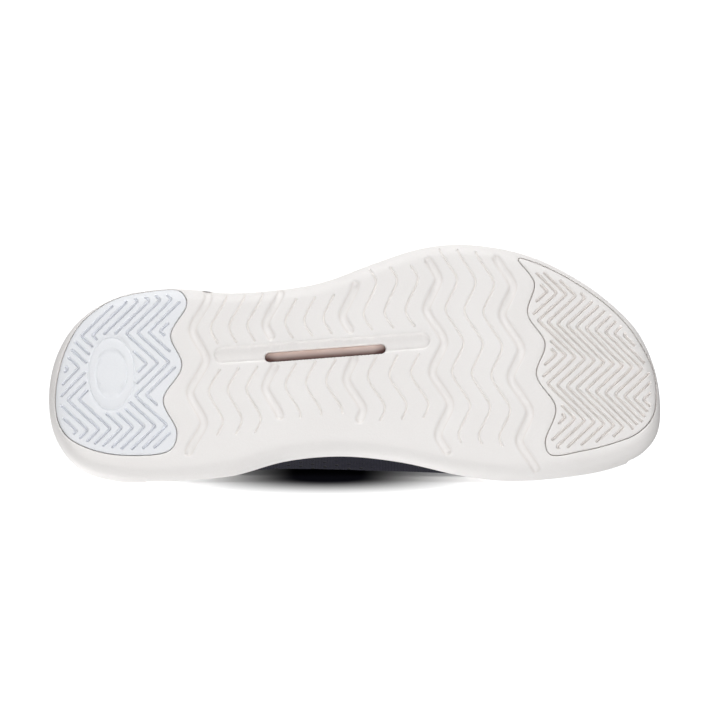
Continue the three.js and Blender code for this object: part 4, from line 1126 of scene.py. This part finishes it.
def facing(name, colour, glow, far_glow=None, shadow=None):
    """Pale ground that is only seen from its front; it can glow with distance and hold a soft painted shadow."""
    mat = bpy.data.materials.new(name)
    mat.use_nodes = True
    tree = mat.node_tree
    tree.nodes.clear()
    start = Maths(tree)
    back = start.node("ShaderNodeNewGeometry", 6)
    place = start.node("ShaderNodeTexCoord", 3)
    tone = place.noise(3, 2).step(0.3, 0.7).mix(colour, scaled(colour, 0.985))
    light = (glow,) * 3
    if far_glow:
        away = place.node("ShaderNodeVectorMath", 1, {"operation": "LENGTH"}, i0=place)
        light = glow + away.step(0.2, 1.5) * (far_glow - glow)
    if shadow:
        # Painted shadow: round the card's centre the colour goes nearly black and the glow fades out, standing in for
        # the shoe's contact shadow.
        x, z = place.part("X") / shadow[0], place.part("Z").least(0.0) / shadow[1]
        lit = ((x * x + z * z) ** 0.5).step(0.2, 1.3)
        tone, light = lit.mix((0.004, 0.004, 0.006), tone), lit * glow
    diffuse = start.node("ShaderNodeBsdfDiffuse", Color=tone)
    both = start.node("ShaderNodeAddShader", i0=diffuse, i1=start.node("ShaderNodeEmission", Color=light, Strength=1.0))
    final = start.node("ShaderNodeMixShader", i0=back, i1=both, i2=start.node("ShaderNodeBsdfTransparent"))
    tree.links.new(final.socket, tree.nodes.new("ShaderNodeOutputMaterial").inputs["Surface"])
    return mat


class MakeStage(bpy.types.Operator):
    """Pale floor, side card, soft lights and the camera under the tread"""
    bl_idname = "shoe.stage"
    bl_label = "Stage"

    # name, place in metres, size, power
    lamps = (("key", (-0.1, -1.3, -0.4), 0.7, 11), ("fill", (0.1, -0.15, -1.5), 0.9, 3),
             ("inner", (0, 0.9, -0.9), 0.7, 7), ("top", (0.1, -0.4, 1.4), 1.2, 22), ("back", (-0.9, 0.9, 0.9), 0.9, 14))
    card_edge = ((-900, -700), (900, -700), (900, 1), (60, 1), (50, 32), (40, 36), (28, 40), (16, 43), (3, 46),
                 (-10, 49.5), (-35, 50.5), (-45, 44.5), (-58, 33), (-70, 25), (-80, 22), (-92, 1), (-900, 1))
    card_centre, card_lean, card_foot = (-12, 50, 18), 12.5, 54.2
    sight, tilt, away, wide = (0.0022, 0.0005, 0), 7.5, 1.5, 0.3133

    def surfaces(self):
        wide, deep = 3000, 8000
        floor = make("floor", [(x, y, -0.05) for x, y in ((-wide, -wide), (wide, -wide), (wide, wide), (-wide, wide))],
                     [range(4)])
        floor.data.materials.append(facing("pale_floor", (0.75, 0.75, 0.75), 0.3, far_glow=1.0))
        # card that the shoe lies against on its inner side; its tab stands behind the arch
        lean, (x0, y0, z0) = math.tan(math.radians(self.card_lean)), self.card_centre
        card = make("side_card", [(x - x0, self.card_foot - z * lean - y0, z - z0) for x, z in self.card_edge],
                    [range(len(self.card_edge))])
        card.location = Vector(self.card_centre) * MM
        # The card glows and holds a painted shadow round its centre, behind the arch.
        card.data.materials.append(facing("pale_card", (0.9, 0.9, 0.9), 0.55, shadow=(0.07, 0.06)))
        ends = (-deep, deep)
        dome = make("backdrop", [(x, y, z) for x in ends for y in ends for z in ends],
                    [(0, 2, 3, 1), (4, 5, 7, 6), (0, 1, 5, 4), (2, 6, 7, 3), (0, 4, 6, 2), (1, 3, 7, 5)])
        dome.data.materials.append(facing("pale_backdrop", (0.8, 0.8, 0.8), 1.0))
        for obj in (floor, card, dome):
            obj.visible_shadow = obj.visible_diffuse = obj.visible_glossy = False

    def execute(self, context):
        scene = context.scene
        scene.view_settings.view_transform = "Standard"
        scene.view_settings.look = "None"
        world = scene.world = scene.world or bpy.data.worlds.new("World")
        world.use_nodes = True
        background = next(n for n in world.node_tree.nodes if n.type == "BACKGROUND")
        background.inputs["Color"].default_value = (1, 1, 1, 1)
        background.inputs["Strength"].default_value = 0.34
        self.surfaces()
        for name, place, width, power in self.lamps:
            data = bpy.data.lights.new(name, "AREA")
            data.shape, data.size, data.energy = "DISK", width, power
            lamp = bpy.data.objects.new(name, data)
            lamp.location = place
            lamp.rotation_mode = "QUATERNION"
            lamp.rotation_quaternion = (-Vector(place)).to_track_quat("-Z", "Y")
            scene.collection.objects.link(lamp)
        cos, sin = math.cos(math.radians(self.tilt)), math.sin(math.radians(self.tilt))
        right, over, back = Vector((1, 0, 0)), Vector((0, -cos, -sin)), Vector((0, sin, -cos))
        data = bpy.data.cameras.new("camera")
        data.sensor_width = 36
        data.lens = 36 * self.away / self.wide
        data.clip_start, data.clip_end = 0.05, 20
        camera = bpy.data.objects.new("camera", data)
        camera.matrix_world = Matrix((right, over, back)).transposed().to_4x4()
        camera.location = Vector(self.sight) + back * self.away
        scene.collection.objects.link(camera)
        scene.camera = camera
        return {"FINISHED"}


class ShoePanel(bpy.types.Panel):
    """Sizes, colours and one button for each group of pieces"""
    bl_idname = "VIEW3D_PT_shoe"
    bl_label = "Cheer Shoe"
    bl_space_type = "VIEW_3D"
    bl_region_type = "UI"
    bl_category = "Cheer Shoe"

    def draw(self, context):
        for group in (context.scene.shoe_sizes, context.scene.shoe_colours):
            for key in group.__annotations__:
                self.layout.prop(group, key)
        for step in STEPS:
            self.layout.operator(step.bl_idname)


STEPS = (MakeSole, MakePads, MakeInner, MakeKnit, MakeTrims, MakeCollar, MakeTongue, MakeLace, MakeLoop, MakeStage)
CLASSES = (ShoeSizes, ShoeColours, *STEPS, ShoePanel)


def register():
    for cls in CLASSES:
        bpy.utils.register_class(cls)
    bpy.types.Scene.shoe_sizes = PointerProperty(type=ShoeSizes)
    bpy.types.Scene.shoe_colours = PointerProperty(type=ShoeColours)


def unregister():
    del bpy.types.Scene.shoe_colours
    del bpy.types.Scene.shoe_sizes
    for cls in reversed(CLASSES):
        bpy.utils.unregister_class(cls)


def main():
    register()
    for step in STEPS:
        group, name = step.bl_idname.split(".")
        getattr(getattr(bpy.ops, group), name)()


if __name__ == "__main__":
    main()
